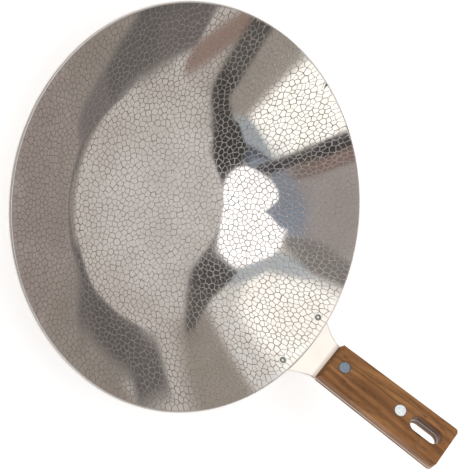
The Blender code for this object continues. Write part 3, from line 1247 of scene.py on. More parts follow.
class Bracket:
    """The polished strap that carries the grip."""

    ACROSS = 25

    def __init__(self, wall: WallSizes, strap: StrapSizes, grip: GripSizes, rivets: RivetSizes) -> None:
        """Works out where the strap leaves the wall and where the grip's nose is.

        Args:
            wall: The bowl's sizes.
            strap: The strap's sizes.
            grip: The grip's sizes.
            rivets: The rivets' sizes.
        """
        self.wall, self.strap, self.grip = wall, strap, grip
        leave_drop = rivets.bowl_drop - rivets.dome_diameter / 2 - rivets.dome_to_neck
        self.leave = wall.rim_angle - leave_drop / wall.wall_radius
        self.rivet_angle = wall.rim_angle - rivets.bowl_drop / wall.wall_radius
        x, z = (float(value) for value in wall.point(np.array(self.leave), CLEARANCE))
        self.leave_x, self.leave_z = x, z
        cosine, sine = math.cos(self.leave), math.sin(self.leave)
        self.bend_x = x + strap.neck_length * cosine - strap.bend_radius * sine
        self.bend_z = z + strap.neck_length * sine + strap.bend_radius * cosine
        self.nose_x = self.bend_x + strap.bend_radius * math.sin(grip.pitch)
        self.nose_z = self.bend_z - strap.bend_radius * math.cos(grip.pitch)
        self.bend_end = strap.bend_radius * (grip.pitch - self.leave)
        self.neck_end = self.bend_end + strap.neck_length
        rivets_s = self.neck_end + (self.leave - self.rivet_angle) * (wall.wall_radius + CLEARANCE)
        self.flange_end = rivets_s + strap.flange_below_rivets

    def place(self, points: np.ndarray) -> np.ndarray:
        """Carries points of the grip's own frame (behind, aside, above) to the pan's frame.

        Args:
            points: The points, with the axis last.

        Returns:
            Points of the same shape.
        """
        cosine, sine = math.cos(self.grip.pitch), math.sin(self.grip.pitch)
        x = self.nose_x + points[..., 0] * cosine - points[..., 2] * sine
        z = self.nose_z + points[..., 0] * sine + points[..., 2] * cosine
        return np.stack([x, points[..., 1], z], axis=-1)

    def centre(self, s: np.ndarray) -> tuple[np.ndarray, np.ndarray]:
        """Follows the strap's upper face on the middle line: tang, bend, neck, then down the wall.

        Args:
            s: Distance from the wood's front towards the flange.

        Returns:
            X and Z.
        """
        pitch, bend = self.grip.pitch, self.strap.bend_radius
        turn = pitch - s / bend
        slope = self.leave - (s - self.neck_end) / (self.wall.wall_radius + CLEARANCE)
        to_wall = self.neck_end - s
        x, z = self.wall.point(slope, CLEARANCE)
        x = np.where(s <= self.neck_end, self.leave_x + to_wall * math.cos(self.leave), x)
        z = np.where(s <= self.neck_end, self.leave_z + to_wall * math.sin(self.leave), z)
        x = np.where(s <= self.bend_end, self.bend_x + bend * np.sin(turn), x)
        z = np.where(s <= self.bend_end, self.bend_z - bend * np.cos(turn), z)
        x = np.where(s <= 0, self.nose_x - s * math.cos(pitch), x)
        z = np.where(s <= 0, self.nose_z - s * math.sin(pitch), z)
        return x, z

    def half_width(self, s: np.ndarray) -> np.ndarray:
        """Half the strap's width: tang, flaring neck, then the flange with its round corners.

        Args:
            s: Distance from the wood's front towards the flange.

        Returns:
            Half the width.
        """
        strap, grip = self.strap, self.grip
        into = np.clip(grip.rear_corner - (grip.length + s), 0.0, grip.rear_corner)
        tang = grip.half_width(-s) - grip.rear_corner + np.sqrt(grip.rear_corner**2 - into**2)
        neck = grip.front_width / 2 + strap.neck_shoulder
        half = neck + (strap.flange_width / 2 - neck) * ease(s / strap.flare_length)
        into = np.clip(strap.flange_corner - (self.flange_end - s), 0.0, strap.flange_corner)
        flange = half - strap.flange_corner + np.sqrt(strap.flange_corner**2 - into**2)
        return np.where(s <= 0, tang, flange)

    def surface(self, s: np.ndarray, v: np.ndarray) -> np.ndarray:
        """Finds the strap's upper face. Across, it is an arc whose curvature k eases from 0 at the
        wood to that of the round wall: x - (1 - cos kv) / k and sin(kv) / k.

        Args:
            s: Distance from the wood's front towards the flange.
            v: Distance to the side.

        Returns:
            Points, with the axis last.
        """
        x, z = self.centre(s)
        curvature = np.maximum(ease(s / self.neck_end) / x, 1e-6)
        turn = curvature * v
        return np.stack([x - (1 - np.cos(turn)) / curvature, np.sin(turn) / curvature, z], axis=-1)

    def stations(self) -> np.ndarray:
        """Lists where the strap has a ring of points, closer where it curves.

        Returns:
            Distances from the wood's front.
        """
        quarter = np.linspace(0.0, math.pi / 2, 9)
        rear = -self.grip.length + self.grip.rear_corner * (1 - np.cos(quarter))
        tang = np.linspace(rear[-1], 0.0, 8)[1:]
        bend = np.linspace(0.0, self.bend_end, 6)[1:]
        neck = np.linspace(self.bend_end, self.neck_end, 16)[1:]
        corner = self.flange_end - self.strap.flange_corner
        wall = np.linspace(self.neck_end, corner, 10)[1:]
        end = corner + self.strap.flange_corner * np.sin(quarter)[1:]
        return np.concatenate([rear, tang, [1e-5], bend, neck, wall, end])

    def mesh(self) -> bpy.types.Object:
        """Builds the strap as rings round its section, whose long edges are rounded.

        Returns:
            The object.
        """
        stations = self.stations()
        edge, thick = self.strap.edge, self.strap.thickness
        turn = np.linspace(0.0, math.pi / 2, 5)
        flat = np.linspace(-1.0, 1.0, self.ACROSS)[1:-1]
        rounding = edge * (1 - np.sin(turn))
        inset = np.concatenate([rounding, np.zeros(len(flat)), rounding[::-1]])
        depth = np.concatenate([inset[:5], np.zeros(len(flat)), inset[-5:]])
        draw_in = edge * (1 - np.cos(turn))
        aside = np.concatenate([-np.ones(5), flat, np.ones(5)])
        back = np.concatenate([draw_in, np.zeros(len(flat)), draw_in[::-1]])
        half = self.half_width(stations)[:, None]
        v = np.where(np.abs(aside) < 1, aside * (half - edge), np.sign(aside) * (half - back))
        v = np.concatenate([v, v[:, ::-1]], axis=1)
        depth = np.concatenate([depth, thick - depth[::-1]])
        s = np.broadcast_to(stations[:, None], v.shape)
        step = 1e-5
        along = self.surface(s - step, v) - self.surface(s + step, v)
        across = self.surface(s, v + step) - self.surface(s, v - step)
        normal = np.cross(along, across)
        normal /= np.linalg.norm(normal, axis=-1, keepdims=True)
        rings = self.surface(s, v) - normal * depth[None, :, None]
        rows, columns = v.shape
        half_ring = columns // 2
        k = np.arange(half_ring - 1)
        cap = np.stack([k, k + 1, columns - 2 - k, columns - 1 - k], axis=-1)
        faces = [ring_faces(rows, columns), cap, cap + (rows - 1) * columns]
        obj = mesh_object("bracket_strap", rings.reshape(-1, 3), faces)
        face_outward(obj)
        return obj

    def dress(self, obj: bpy.types.Object, material: bpy.types.Material) -> None:
        """Gives the strap its finish and lets it stand for its solid.

        Args:
            obj: The strap.
            material: Its steel.
        """
        obj.data.materials.append(material)
        smooth(obj)
        hand_over(obj, "handle_bracket")


class Grip:
    """The two wooden scales."""

    SEAT_EDGE = 0.00015  # the small bevel where a scale lies on the tang
    OVER = 0.004  # how far the slot's cutter reaches past the wood

    def __init__(self, bracket: Bracket) -> None:
        """Keeps the bracket, which carries the grip, and the grip's sizes."""
        self.bracket = bracket
        self.size = bracket.grip

    def outline(self, inset: float, nose: float) -> np.ndarray:
        """Draws the grip's outline with round corners.

        Args:
            inset: How far it is drawn in.
            nose: How far its front lies behind the tang's front edge.

        Returns:
            Rows of distance behind the nose and aside.
        """
        size = self.size
        corner = max(size.rear_corner - inset, 0.0005)
        rear, front = size.length - inset, nose + inset
        turn = np.linspace(0.0, math.pi / 2, 9)
        half = size.half_width(np.array(rear)) - inset
        back = np.stack([rear - corner * (1 - np.cos(turn)), half - corner * (1 - np.sin(turn))], axis=-1)
        ease_radius = 0.0004
        half = size.half_width(np.array(front)) - inset
        head = np.stack(
            [front + ease_radius * (1 - np.sin(turn[::2])), half - ease_radius * (1 - np.cos(turn[::2]))],
            axis=-1,
        )
        side = np.concatenate([back, head])
        return np.concatenate([side, side[::-1] * (1.0, -1.0)])

    def scale(self, name: str, seat: float, thickness: float, edge: float, way: float) -> bpy.types.Object:
        """Builds one scale as a stack of outlines that draw in along a quarter round.

        Args:
            name: The piece's name.
            seat: Height of its flat side in the grip's frame.
            thickness: Its thickness.
            edge: Radius of its long outer edges.
            way: 1 for the upper scale and -1 for the lower one.

        Returns:
            The object.
        """
        rings = []
        levels = [(0.0, self.SEAT_EDGE), (self.SEAT_EDGE, 0.0)]
        for turn in np.linspace(0.0, math.pi / 2, 10):
            levels.append((thickness - edge + edge * math.sin(turn), edge * (1 - math.cos(turn))))
        for height, inset in levels:
            outline = self.outline(inset, self.size.nose_lean * height / thickness)
            level = np.full((len(outline), 1), seat + way * height)
            rings.append(np.concatenate([outline, level], axis=1))
        return loft(name, self.bracket.place(np.array(rings)))

    def slot_cutter(self) -> bpy.types.Object:
        """Builds the slot's body, which flares at both outer faces so that the edges come out round.

        Returns:
            The cutter.
        """
        size, strap = self.size, self.bracket.strap
        top = CLEARANCE + size.upper
        bottom = -strap.thickness - CLEARANCE - size.lower
        turn = np.linspace(0.0, math.pi / 2, 7)
        flare = size.slot_edge * (1 - np.cos(turn))
        rise = size.slot_edge * np.sin(turn)
        lower, upper = bottom + size.slot_edge - rise[::-1], top - size.slot_edge + rise
        heights = [bottom - self.OVER, *lower, *upper, top + self.OVER]
        grows = [flare[-1], *flare[::-1], *flare, flare[-1]]
        round_end = np.linspace(-math.pi / 2, math.pi / 2, 21)
        radius = size.slot_width / 2
        ends_at = [size.slot_start + size.slot_length - radius, size.slot_start + radius]
        middle = np.repeat(ends_at, len(round_end))
        angle = np.concatenate([round_end, round_end + math.pi])
        rings = []
        for height, grow in zip(heights, grows):
            radius = size.slot_width / 2 + grow
            u = middle + radius * np.cos(angle)
            v = radius * np.sin(angle) + size.row_offset
            rings.append(np.stack([u, v, np.full_like(u, height)], axis=-1))
        return loft("slot_cutter", self.bracket.place(np.array(rings)))

    def dress(self, obj: bpy.types.Object, node: str, material: bpy.types.Material) -> None:
        """Gives a scale its finish and lets it stand for its solid.

        Args:
            obj: The scale.
            node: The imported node.
            material: Its wood.
        """
        obj.data.materials.append(material)
        smooth(obj)
        hand_over(obj, node)


class Rivet:
    """A rivet of either kind, set in the bracket."""

    SEGMENTS = 48  # points round it

    def __init__(self, bracket: Bracket, size: RivetSizes) -> None:
        """Keeps the sizes.

        Args:
            bracket: The bracket, through which the rivet goes.
            size: The rivets' sizes.
        """
        self.bracket = bracket
        self.size = size

    def dress(self, obj: bpy.types.Object, node: str, material: bpy.types.Material) -> None:
        """Gives the rivet its finish and lets it stand for its solid.

        Args:
            obj: The rivet.
            node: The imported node.
            material: Its steel.
        """
        obj.data.materials.append(material)
        smooth(obj)
        hand_over(obj, node)


class GripRivet(Rivet):
    """A rivet through the grip, with a flush, slightly domed head in each scale."""

    HOLE_GAP = 0.00014
    HOLE_EDGE = 0.00012  # the small bevel at the hole's upper mouth
    OVER = 0.002  # how far the hole's cutter reaches past the wood

    def __init__(self, bracket: Bracket, size: RivetSizes) -> None:
        """Works out the heights of the grip's outer faces.

        Args:
            bracket: The bracket, which carries the grip.
            size: The rivets' sizes.
        """
        super().__init__(bracket, size)
        self.top = CLEARANCE + bracket.grip.upper
        self.bottom = -bracket.strap.thickness - CLEARANCE - bracket.grip.lower

    def set_in_grip(self, obj: bpy.types.Object, u: float) -> bpy.types.Object:
        """Carries a turned body to its place in the grip.

        Args:
            obj: The body, turned about the grip frame's vertical.
            u: Distance behind the nose.

        Returns:
            The same object.
        """
        points = np.empty(len(obj.data.vertices) * 3, np.float32)
        obj.data.vertices.foreach_get("co", points)
        points = points.reshape(-1, 3).astype(float) + (u, self.bracket.grip.row_offset, 0.0)
        obj.data.vertices.foreach_set("co", self.bracket.place(points).astype(np.float32).ravel())
        obj.data.update()
        return obj

    def mesh(self, name: str, u: float) -> bpy.types.Object:
        """Builds the rivet: two flat domes with rounded edges, and the shank between them. A dome
        falls by its height times (r / R)^2 at r from its middle.

        Args:
            name: The piece's name.
            u: Distance behind the nose.

        Returns:
            The object.
        """
        size = self.size
        head, shank, ease_edge = size.head_diameter / 2, size.shank_diameter / 2, 0.0003
        radius = np.linspace(0.0, head - ease_edge, 8)
        dome = size.head_dome * (radius / head) ** 2
        turn = np.linspace(0.0, math.pi / 2, 5)[1:]
        corner_r = head - ease_edge + ease_edge * np.sin(turn)
        corner_z = dome[-1] + ease_edge * (1 - np.cos(turn))
        cap_r = np.concatenate([radius, corner_r, [head, shank]])
        cap_z = np.concatenate([dome, corner_z, [size.head_depth, size.head_depth]])
        upper = np.stack([cap_r, self.top - cap_z], axis=-1)
        lower = np.stack([cap_r, self.bottom + cap_z], axis=-1)[::-1]
        obj = turned(name, np.concatenate([upper, lower]), self.SEGMENTS)
        return self.set_in_grip(obj, u)

    def hole(self, u: float) -> bpy.types.Object:
        """Builds the body of the rivet's hole.

        Args:
            u: Distance behind the nose.

        Returns:
            The cutter.
        """
        size, gap, edge, over = self.size, self.HOLE_GAP, self.HOLE_EDGE, self.OVER
        head, shank = size.head_diameter / 2 + gap, size.shank_diameter / 2 + gap
        depth = size.head_depth + gap
        profile = [
            (0.0, self.top + over),
            (head + edge, self.top + over),
            (head + edge, self.top),
            (head, self.top - edge),
            (head, self.top - depth),
            (shank, self.top - depth),
            (shank, self.bottom + depth),
            (head, self.bottom + depth),
            (head, self.bottom - over),
            (0.0, self.bottom - over),
        ]
        return self.set_in_grip(turned("rivet_hole", np.array(profile), self.SEGMENTS), u)


class BowlRivet(Rivet):
    """A rivet through the wall and the flange, flush with a ring groove inside, domed outside."""

    RING = (0.0012, 0.0021, 0.0006)  # the ring groove's two radii and the depth that it stays above, which bound its painted shade
    HOLE_GAP = 0.00016
    HOLE_SEGMENTS = 40

    def __init__(self, bracket: Bracket, size: RivetSizes) -> None:
        """Works out how far the rivet reaches through the wall and the flange.

        Args:
            bracket: The bracket.
            size: The rivets' sizes.
        """
        super().__init__(bracket, size)
        self.reach = bracket.wall.sheet + bracket.strap.thickness + 2 * CLEARANCE

    def matrix(self, side: Side) -> Matrix:
        """Places a turned body on the wall: its foot on the inner face, its axis square to it.

        Args:
            side: Which side of the grip's plane.

        Returns:
            The placement.
        """
        wall, slope = self.bracket.wall, self.bracket.rivet_angle
        radius, height = (float(value) for value in wall.point(np.array(slope), -wall.sheet))
        azimuth = side.value * math.asin(self.size.bowl_spacing / 2 / radius)
        cosine, sine = math.cos(azimuth), math.sin(azimuth)
        axis = (math.sin(slope) * cosine, math.sin(slope) * sine, -math.cos(slope))
        level = (-sine, cosine, 0.0)
        up = (  # the cross product of the axis and the level direction
            axis[1] * level[2] - axis[2] * level[1],
            axis[2] * level[0] - axis[0] * level[2],
            axis[0] * level[1] - axis[1] * level[0],
        )
        place = Matrix((level, up, axis)).transposed().to_4x4()
        place.translation = (radius * cosine, radius * sine, height)
        return place

    def mesh(self, name: str, side: Side) -> bpy.types.Object:
        """Builds the rivet: a flat inner face inside a ring groove, the pin and the outer dome, a
        part of a ball of radius (R^2 + h^2) / 2h for a dome of radius R and height h.

        Args:
            name: The piece's name.
            side: Which side of the grip's plane.

        Returns:
            The object.
        """
        size = self.size
        sink, pin, dome = size.sink_diameter / 2, size.pin_diameter / 2, size.dome_diameter / 2
        ball = (dome**2 + size.dome_height**2) / (2 * size.dome_height)
        turn = np.linspace(math.asin(dome / ball), 0.0, 12)
        cap_z = self.reach + size.dome_height - ball * (1 - np.cos(turn))
        cap = np.stack([ball * np.sin(turn), cap_z], axis=-1)
        face = [  # the flat face, its ring groove and the countersink
            (0.0, 0.00002),
            (0.0006, 0.00004),
            (0.00105, 0.00012),
            (0.00130, 0.00046),
            (0.00165, 0.00050),
            (0.00190, 0.00012),
            (sink - 0.00012, 0.00005),
            (sink, 0.00020),
            (pin, size.sink_depth),
            (pin, self.reach),
        ]
        obj = turned(name, np.concatenate([np.array(face), cap]), self.SEGMENTS)
        points = np.array([vertex.co[:] for vertex in obj.data.vertices])
        radius = np.hypot(points[:, 0], points[:, 1])
        inner, outer, level = self.RING
        # the groove's floor, which the material darkens with painted shade
        ring = (radius > inner) & (radius < outer) & (points[:, 2] < level)
        attribute = obj.data.attributes.new("ring", "FLOAT", "POINT")
        attribute.data.foreach_set("value", ring.astype(np.float32))
        obj.data.transform(self.matrix(side))
        return obj

    def hole(self, side: Side) -> bpy.types.Object:
        """Builds the body of the rivet's hole through the wall and the flange.

        Args:
            side: Which side of the grip's plane.

        Returns:
            The cutter.
        """
        gap, size = self.HOLE_GAP, self.size
        sink, pin = size.sink_diameter / 2 + gap, size.pin_diameter / 2 + gap
        profile = [
            (0.0, -0.002),
            (sink, -0.002),
            (sink, 0.0001),
            (pin, size.sink_depth),
            (pin, self.reach + 0.001),
            (0.0, self.reach + 0.001),
        ]
        obj = turned("bowl_rivet_hole", np.array(profile), self.HOLE_SEGMENTS)
        obj.data.transform(self.matrix(side))
        return obj


# Studio


@dataclass(frozen=True)
class StudioCamera:
    """The photograph's camera, fitted to the rim, the grip, the slot and the rivets."""

    location: tuple[float, float, float] = (-0.2415, -0.2282, 0.5663)
    right: tuple[float, float, float] = (0.5382, 0.6261, 0.5643)
    down: tuple[float, float, float] = (0.7249, -0.6854, 0.0691)
    forward: tuple[float, float, float] = (0.4300, 0.3719, -0.8227)
    lens: float = 68.94

    def make(self) -> bpy.types.Object:
        """Creates the scene's camera.

        Returns:
            The camera object.
        """
        data = bpy.data.cameras.new("camera")
        data.lens = self.lens
        data.sensor_width = 36.0
        camera = bpy.data.objects.new("camera", data)
        back = tuple(-value for value in self.forward)
        up = tuple(-value for value in self.down)
        turn = Matrix((self.right, up, back)).transposed().to_4x4()
        camera.matrix_world = Matrix.Translation(self.location) @ turn
        bpy.context.scene.collection.objects.link(camera)
        bpy.context.scene.camera = camera
        return camera


@dataclass(frozen=True)
class SoftPanel:
    """A far panel of light or dark with straight soft edges, which the steel mirrors."""

    colour: tuple[float, float, float]
    softness: float  # half the width of its soft edge in radians, all of it outside the corners
    parts: tuple[tuple[tuple[float, float], ...], ...]  # the corners of each convex part, in degrees

    @staticmethod
    def edges(corners: tuple[tuple[float, float], ...]) -> np.ndarray:
        """Finds the plane through each edge of a part and the pan.

        A corner is given in degrees from the zenith, towards +X and towards +Y: its distance from
        (0, 0) is its angle from the zenith, and its direction there is its azimuth.

        Args:
            corners: The part's corners in order.

        Returns:
            The planes' unit normals, which point to the part's inside.
        """
        flat = np.radians(np.array(corners))
        angle = np.maximum(np.hypot(flat[:, 0], flat[:, 1]), 1e-9)
        level = flat * (np.sin(angle) / angle)[:, None]
        corner = np.concatenate([level, np.cos(angle)[:, None]], axis=1)
        normal = np.cross(corner, np.roll(corner, -1, axis=0))
        normal /= np.linalg.norm(normal, axis=1, keepdims=True)
        return normal if (normal @ corner.mean(axis=0)).sum() > 0 else -normal

    def mask(
        self, tree: bpy.types.NodeTree, direction: object, corners: tuple[tuple[float, float], ...]
    ) -> object:
        """Builds the mask of a part, the product of one soft step for each edge.

        It is 1 inside and up to the edge and falls to 0 over the soft width outside it, so that the
        parts of one panel join without a seam.

        Args:
            tree: The world's node tree.
            direction: The socket with the direction looked in.
            corners: The part's corners in order.

        Returns:
            The mask's socket.
        """
        result = None
        for normal in self.edges(corners):
            dot = add_node(tree, "ShaderNodeVectorMath", operation="DOT_PRODUCT")
            link(tree, direction, dot.inputs[0])
            dot.inputs[1].default_value = tuple(float(value) for value in normal)
            inside = span(tree, dot.outputs["Value"], -2.0 * self.softness, 0.0)
            result = inside if result is None else math_node(tree, "MULTIPLY", result, inside)
        return result

    def laid_over(self, tree: bpy.types.NodeTree, direction: object, colour: object) -> object:
        """Lays the panel's parts over a colour in turn.

        Args:
            tree: The world's node tree.
            direction: The socket with the direction looked in.
            colour: The colour behind the panel.

        Returns:
            The socket of the colour with the panel on it.
        """
        for corners in self.parts:
            colour = mix_colour(tree, self.mask(tree, direction, corners), colour, self.colour)
        return colour


class Studio:
    """A plain pale floor under a soft studio light with panels that the steel mirrors.

    All the panels together have 229 edges. Near 240 the renderer runs out of room for the world's
    nodes and the world turns black, so a new panel takes the place of an old one.
    """

    FIELD = (0.640, 0.612, 0.584)
    TWICE = (0.570, 0.528, 0.520)  # for light that the bowl has mirrored twice
    FLOOR = (0.86, 0.86, 0.86)
    FLOOR_ROUGHNESS = 0.9
    FLOOR_GLOW = 0.5  # only where the camera or the steel sees the floor
    MIRRORED_ONCE = 2.5  # the world reads depth 2 after one mirror and 3 after two
    WALL = (0.350, 0.315, 0.287)
    WALL_TOP = (0.30, 0.235)  # where the field turns to the wall, as the cosine from the zenith
    PANELS = (
        SoftPanel(  # brighter ceiling over the bowl's floor
            (0.69, 0.667, 0.648),
            0.2,
            (
                ((12, 10), (30, 13), (33, 26), (22, 34), (8, 30)),
            ),
        ),
        SoftPanel(  # taupe beside the glow
            (0.381, 0.348, 0.314),
            0.09,
            (
                ((50, -19), (38, -21), (29, -24), (32, -31), (40, -38), (58, -30)),
            ),
        ),
        SoftPanel(  # brown wall, far left
            (0.359, 0.322, 0.284),
            0.1,
            (
                ((-13, 43), (-13, 58), (-18, 68), (-30, 58), (-34, 48), (-28, 41), (-21, 38)),
            ),
        ),
        SoftPanel(  # light grey on the left
            (0.841, 0.833, 0.813),
            0.07,
            (
                ((-10, 18), (-11, 27), (-18, 35), (-26, 39)),
                ((-10, 18), (-26, 39), (-34, 45), (-50, 45), (-45, 2), (-20, 8)),
            ),
        ),
        SoftPanel(  # bright window on the left
            (1.37, 1.36, 1.31),
            0.1,
            (
                ((-26, 14), (-30, 26), (-38, 31), (-55, 31), (-50, 5), (-32, 7)),
            ),
        ),
        SoftPanel(  # blue-grey edge
            (0.516, 0.582, 0.636),
            0.02,
            (
                ((-10, 15), (-13, 21), (-22, 13), (-30, 1), (-18, 8)),
                ((-30, 1), (-29, -4), (-25, -1), (-18, 8)),
            ),
        ),
        SoftPanel(  # pinkish wall
            (0.416, 0.381, 0.374),
            0.02,
            (
                ((-4, -48), (-3, -28), (-9, -22), (-16, -17)),
                ((-4, -48), (-16, -17), (-22, -12), (-34, -14), (-42, -30), (-22, -55)),
            ),
        ),
        SoftPanel(  # dark mottled patch
            (0.252, 0.237, 0.229),
            0.02,
            (
                ((-26, -12), (-22, -9), (-26, -6), (-31, -3), (-37, -5), (-35, -10)),
            ),
        ),
        SoftPanel(  # reddish edge
            (0.261, 0.188, 0.166),
            0.02,
            (
                ((-1.5, -42), (-1.5, -28), (-5, -27), (-6, -33), (-4.5, -41)),
            ),
        ),
        SoftPanel(  # blue-grey under the light
            (0.416, 0.479, 0.533),
            0.04,
            (
                ((29, -20), (20, -12), (12, -8), (1, -25), (6, -28), (16, -28.5), (27, -23.5)),
            ),
        ),
        SoftPanel(  # dark rim of the light
            (0.111, 0.134, 0.173),
            0.018,
            (
                ((20, -12), (14, -8), (8, -14.5), (5, -18), (6.5, -24), (11, -21.5), (16, -17.5)),
            ),
        ),
        SoftPanel(  # darker blue-grey
            (0.261, 0.307, 0.391),
            0.015,
            (
                ((13, -13), (5, -7), (-14, -7), (-23, -12), (-16, -20), (-8, -24.5), (1, -26.5), (8, -22)),
            ),
        ),
        SoftPanel(  # glow low down
            (1.46, 1.46, 1.4),
            0.06,
            (
                ((31, -35), (28, -30), (7, -32), (6, -60), (43, -60)),
            ),
        ),
        SoftPanel(  # dark arc under the glow
            (0.056, 0.055, 0.061),
            0.012,
            (
                ((9, -14), (5, -14), (1.2, -25), (-0.5, -33), (5, -26)),
                ((-0.5, -33), (-0.8, -45), (3, -45), (3.8, -33)),
                ((-0.5, -33), (3.8, -33), (5, -26)),
            ),
        ),
        SoftPanel(  # horizon band, right end
            (0.165, 0.15, 0.15),
            0.015,
            (
                ((77, 14), (69.5, 11), (66.5, 1), (63.5, -7), (67, -11), (85, 5), (85, 14)),
            ),
        ),
        SoftPanel(  # horizon band, right
            (0.139, 0.134, 0.133),
            0.015,
            (
                ((74, 29.5), (70.5, 29.5), (71, 18)),
                ((74, 29.5), (71, 18), (69.5, 9), (75, 9), (76, 19)),
                ((75, 9), (77, 13), (76, 19)),
            ),
        ),
        SoftPanel(  # horizon band, thin
            (0.197, 0.18, 0.184),
            0.012,
            (
                ((67, 48), (62, 47.5), (67.5, 41)),
                ((67, 48), (67.5, 41), (70.5, 28), (74.5, 28), (73, 38)),
            ),
        ),
        SoftPanel(  # horizon line
            (0.203, 0.188, 0.188),
            0.008,
            (
                ((45, 66), (45, 62.5), (51, 60)),
                ((45, 66), (51, 60), (58, 56)),
                ((58, 56), (61, 51), (63, 47.5), (66.5, 49)),
                ((45, 66), (58, 56), (66.5, 49), (62, 59), (52, 64)),
            ),
        ),
        SoftPanel(  # horizon band, left
            (0.148, 0.141, 0.143),
            0.028,
            (
                ((43, 61), (44, 64), (34, 71.5), (33.5, 68.5)),
                ((34, 71.5), (26, 71.5), (26, 68.8), (33.5, 68.5)),
            ),
        ),
        SoftPanel(  # horizon band, lower left
            (0.13, 0.123, 0.125),
            0.028,
            (
                ((28, 68.5), (28, 71.5), (20, 72), (8, 69.5), (9, 66.5)),
            ),
        ),
        SoftPanel(  # horizon band, end
            (0.148, 0.138, 0.14),
            0.028,
            (
                ((11, 67), (8, 72), (-1, 66), (1, 64)),
            ),
        ),
        SoftPanel(  # reddish streak
            (0.338, 0.228, 0.196),
            0.018,
            (
                (
                    (62, -8.5), (61.5, -6), (60, -7), (57.5, -12.5), (55.7, -18.5), (55, -23.5),
                    (58, -21), (60.7, -13.5),
                ),
            ),
        ),
        SoftPanel(  # dark wedge, thin end
            (0.111, 0.105, 0.101),
            0.02,
            (
                ((56, -22.5), (50, -17.5), (45.5, -18.8), (44, -22.3), (52.5, -27.5)),
            ),
        ),
        SoftPanel(  # dark wedge, upper
            (0.068, 0.067, 0.066),
            0.015,
            (
                ((44, -22), (50, -17.8), (33, -6.7), (27.5, -12.5), (32, -16.5)),
            ),
        ),
        SoftPanel(  # dark wedge, middle
            (0.068, 0.067, 0.066),
            0.015,
            (
                ((28, -17), (35, -8.5), (25.5, 1.5), (15, -4), (18, -13)),
            ),
        ),
        SoftPanel(  # dark wedge, lower
            (0.06, 0.059, 0.06),
            0.012,
            (
                ((20, -8), (26.5, 0), (21.3, 11), (18.4, 14.5), (14, 10), (13, -4)),
            ),
        ),
        SoftPanel(  # lower dark wedge
            (0.095, 0.092, 0.093),
            0.015,
            (
                ((15, 17), (17, 19.5), (12, 24), (3, 31), (-8, 31), (-10, 24), (-11, 17.5), (8, 16.5)),
            ),
        ),
        SoftPanel(  # lower dark wedge, thin end
            (0.122, 0.116, 0.112),
            0.018,
            (
                ((-8, 29), (5, 29), (-3, 38)),
                ((-8, 29), (-3, 38), (-11, 50), (-11, 41)),
                ((-11, 50), (-13, 49), (-11, 41)),
            ),
        ),
        SoftPanel(  # overhead light
            (1.56, 1.53, 1.55),
            0.008,
            (
                (
                    (14, 4), (18.2, 14.5), (17.2, 17.2), (12.9, 17.9), (-5.5, 16.2), (-11.1, 14),
                    (-18, 7.8), (-24.9, -0.6), (-23.7, -5.7), (-20.2, -11.4), (-10, -8.9),
                ),
            ),
        ),
        SoftPanel(  # overhead light, lower lobe
            (1.56, 1.53, 1.55),
            0.008,
            (
                (
                    (18, 14.5), (14, 14), (2, 4), (-6.9, -10.5), (-8.7, -17.9), (-6.3, -19.8),
                    (0, -18.6), (6.5, -14.2), (12.7, -7.3), (15.3, -1.1),
                ),
            ),
        ),
    )

    def world(self) -> None:
        """Makes the world: an even field that turns to a darker wall low down, the panels laid over
        it in turn, a plain colour for light that the bowl mirrors twice, and plain white where the
        camera sees it directly."""
        world = bpy.data.worlds.new("studio")
        world.use_nodes = True
        bpy.context.scene.world = world
        tree = world.node_tree
        tree.nodes.clear()
        direction = add_node(tree, "ShaderNodeTexCoord").outputs["Generated"]
        path = add_node(tree, "ShaderNodeLightPath")
        height = add_node(tree, "ShaderNodeSeparateXYZ")
        link(tree, direction, height.inputs[0])
        low = span(tree, height.outputs["Z"], self.WALL_TOP[1], self.WALL_TOP[0], (1.0, 0.0))
        colour = mix_colour(tree, low, self.FIELD, self.WALL)
        for panel in self.PANELS:
            colour = panel.laid_over(tree, direction, colour)
        again = math_node(tree, "GREATER_THAN", path.outputs["Ray Depth"], self.MIRRORED_ONCE)
        field = add_node(tree, "ShaderNodeBackground")
        link(tree, mix_colour(tree, again, colour, self.TWICE), field.inputs["Color"])
        white = add_node(tree, "ShaderNodeBackground")
        white.inputs["Color"].default_value = (1.0, 1.0, 1.0, 1.0)
        mix = add_node(tree, "ShaderNodeMixShader")
        link(tree, path.outputs["Is Camera Ray"], mix.inputs[0])
        link(tree, field.outputs[0], mix.inputs[1])
        link(tree, white.outputs[0], mix.inputs[2])
        output = add_node(tree, "ShaderNodeOutputWorld")
        link(tree, mix.outputs[0], output.inputs["Surface"])

    def floor(self) -> None:
        """Makes the floor, which is white but for the object's soft shadow."""
        corners = np.array([[-30.0, -30.0, 0.0], [30.0, -30.0, 0.0], [30.0, 30.0, 0.0], [-30.0, 30.0, 0.0]])
        floor = mesh_object("studio_floor", corners - (0.0, 0.0, 0.0002), [np.array([[0, 1, 2, 3]])])
        material, tree, shader = new_material("pale_floor", 0.0)
        shader.inputs["Base Color"].default_value = (*self.FLOOR, 1.0)
        shader.inputs["Roughness"].default_value = self.FLOOR_ROUGHNESS
        shader.inputs["Emission Color"].default_value = (1.0, 1.0, 1.0, 1.0)
        path = add_node(tree, "ShaderNodeLightPath")
        seen = math_node(tree, "MAXIMUM", path.outputs["Is Camera Ray"], path.outputs["Is Glossy Ray"])
        glow = math_node(tree, "MULTIPLY", seen, self.FLOOR_GLOW)
        link(tree, glow, shader.inputs["Emission Strength"])
        floor.data.materials.append(material)

    def make(self) -> None:
        """Sets the colours to show as written, and makes the world and the floor."""
        bpy.context.scene.view_settings.view_transform = "Standard"
        self.world()
        self.floor()
        LOG.info("studio: %d panels", len(self.PANELS))


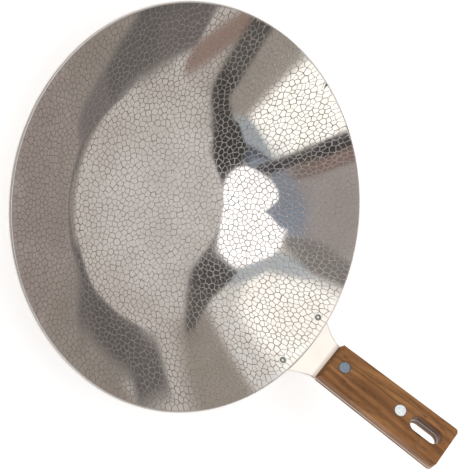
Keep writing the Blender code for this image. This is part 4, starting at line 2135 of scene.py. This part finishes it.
def main() -> None:
    """Builds every piece in order and dresses it."""
    logging.basicConfig(level=logging.INFO, format="%(name)s: %(message)s")
    StudioCamera().make()
    Studio().make()
    effects = SurfaceEffects()
    patterned = PatternedSteel().make(effects)
    outside = SatinSteel().make(effects)
    # the bracket's last colour is painted shade under the grip and a painted reflection of the wood
    polished = SatinSteel(
        "polished_steel", (0.77, 0.71, 0.665), (0.73, 0.67, 0.63), (0.10, 0.18), 0.15, (0.46, 0.40, 0.35)
    ).make(effects)
    plain_rivet = SpeckledSteel("pale_rivet", (0.66, 0.69, 0.70), (0.50, 0.54, 0.56), 0.24).make(effects)
    # the front grip rivet's dark blue-grey is a painted reflection of dark surroundings, on the same steel as
    # the pale rivet
    painted_dark_reflection_rivet = SpeckledSteel("painted_dark_reflection_rivet", (0.22, 0.26, 0.31), (0.10, 0.12, 0.15), 0.30).make(effects)
    wood = OiledWood().make(effects)

    wall, rivets, grip_sizes = WallSizes(), RivetSizes(), GripSizes()
    bracket = Bracket(wall, StrapSizes(), grip_sizes, rivets)
    bowl = Bowl(wall, CrackleSizes())
    bowl_piece = bowl.mesh()
    strap_piece = bracket.mesh()

    bowl_rivet = BowlRivet(bracket, rivets)
    holes = [bowl_rivet.hole(side) for side in Side]
    cut(bowl_piece, holes)
    cut(strap_piece, holes)
    remove(holes)
    for side, node in ((Side.LEFT, "left_bowl_rivet"), (Side.RIGHT, "right_bowl_rivet")):
        piece = bowl_rivet.mesh("bowl_rivet_" + side.name.lower(), side)
        bowl_rivet.dress(piece, node, plain_rivet)

    grip = Grip(bracket)
    strap = bracket.strap
    upper = grip.scale("wood_upper", CLEARANCE, grip_sizes.upper, grip_sizes.upper_edge, 1.0)
    under = -strap.thickness - CLEARANCE
    lower = grip.scale("wood_lower", under, grip_sizes.lower, grip_sizes.lower_edge, -1.0)
    grip_rivet = GripRivet(bracket, rivets)
    # the front rivet takes the painted dark reflection, the rear one the plain rivet steel
    places = (("front", grip_sizes.front_rivet, painted_dark_reflection_rivet), ("rear", grip_sizes.rear_rivet, plain_rivet))
    cutters = [grip.slot_cutter(), *(grip_rivet.hole(u) for _, u, _ in places)]
    for piece in (upper, lower, strap_piece):
        cut(piece, cutters)
    remove(cutters)
    for name, u, material in places:
        grip_rivet.dress(grip_rivet.mesh("grip_rivet_" + name, u), name + "_grip_rivet", material)
    grip.dress(upper, "upper_grip_scale", wood)
    grip.dress(lower, "lower_grip_scale", wood)
    bracket.dress(strap_piece, polished)
    bowl.dress(bowl_piece, patterned, outside)


if __name__ == "__main__":
    main()
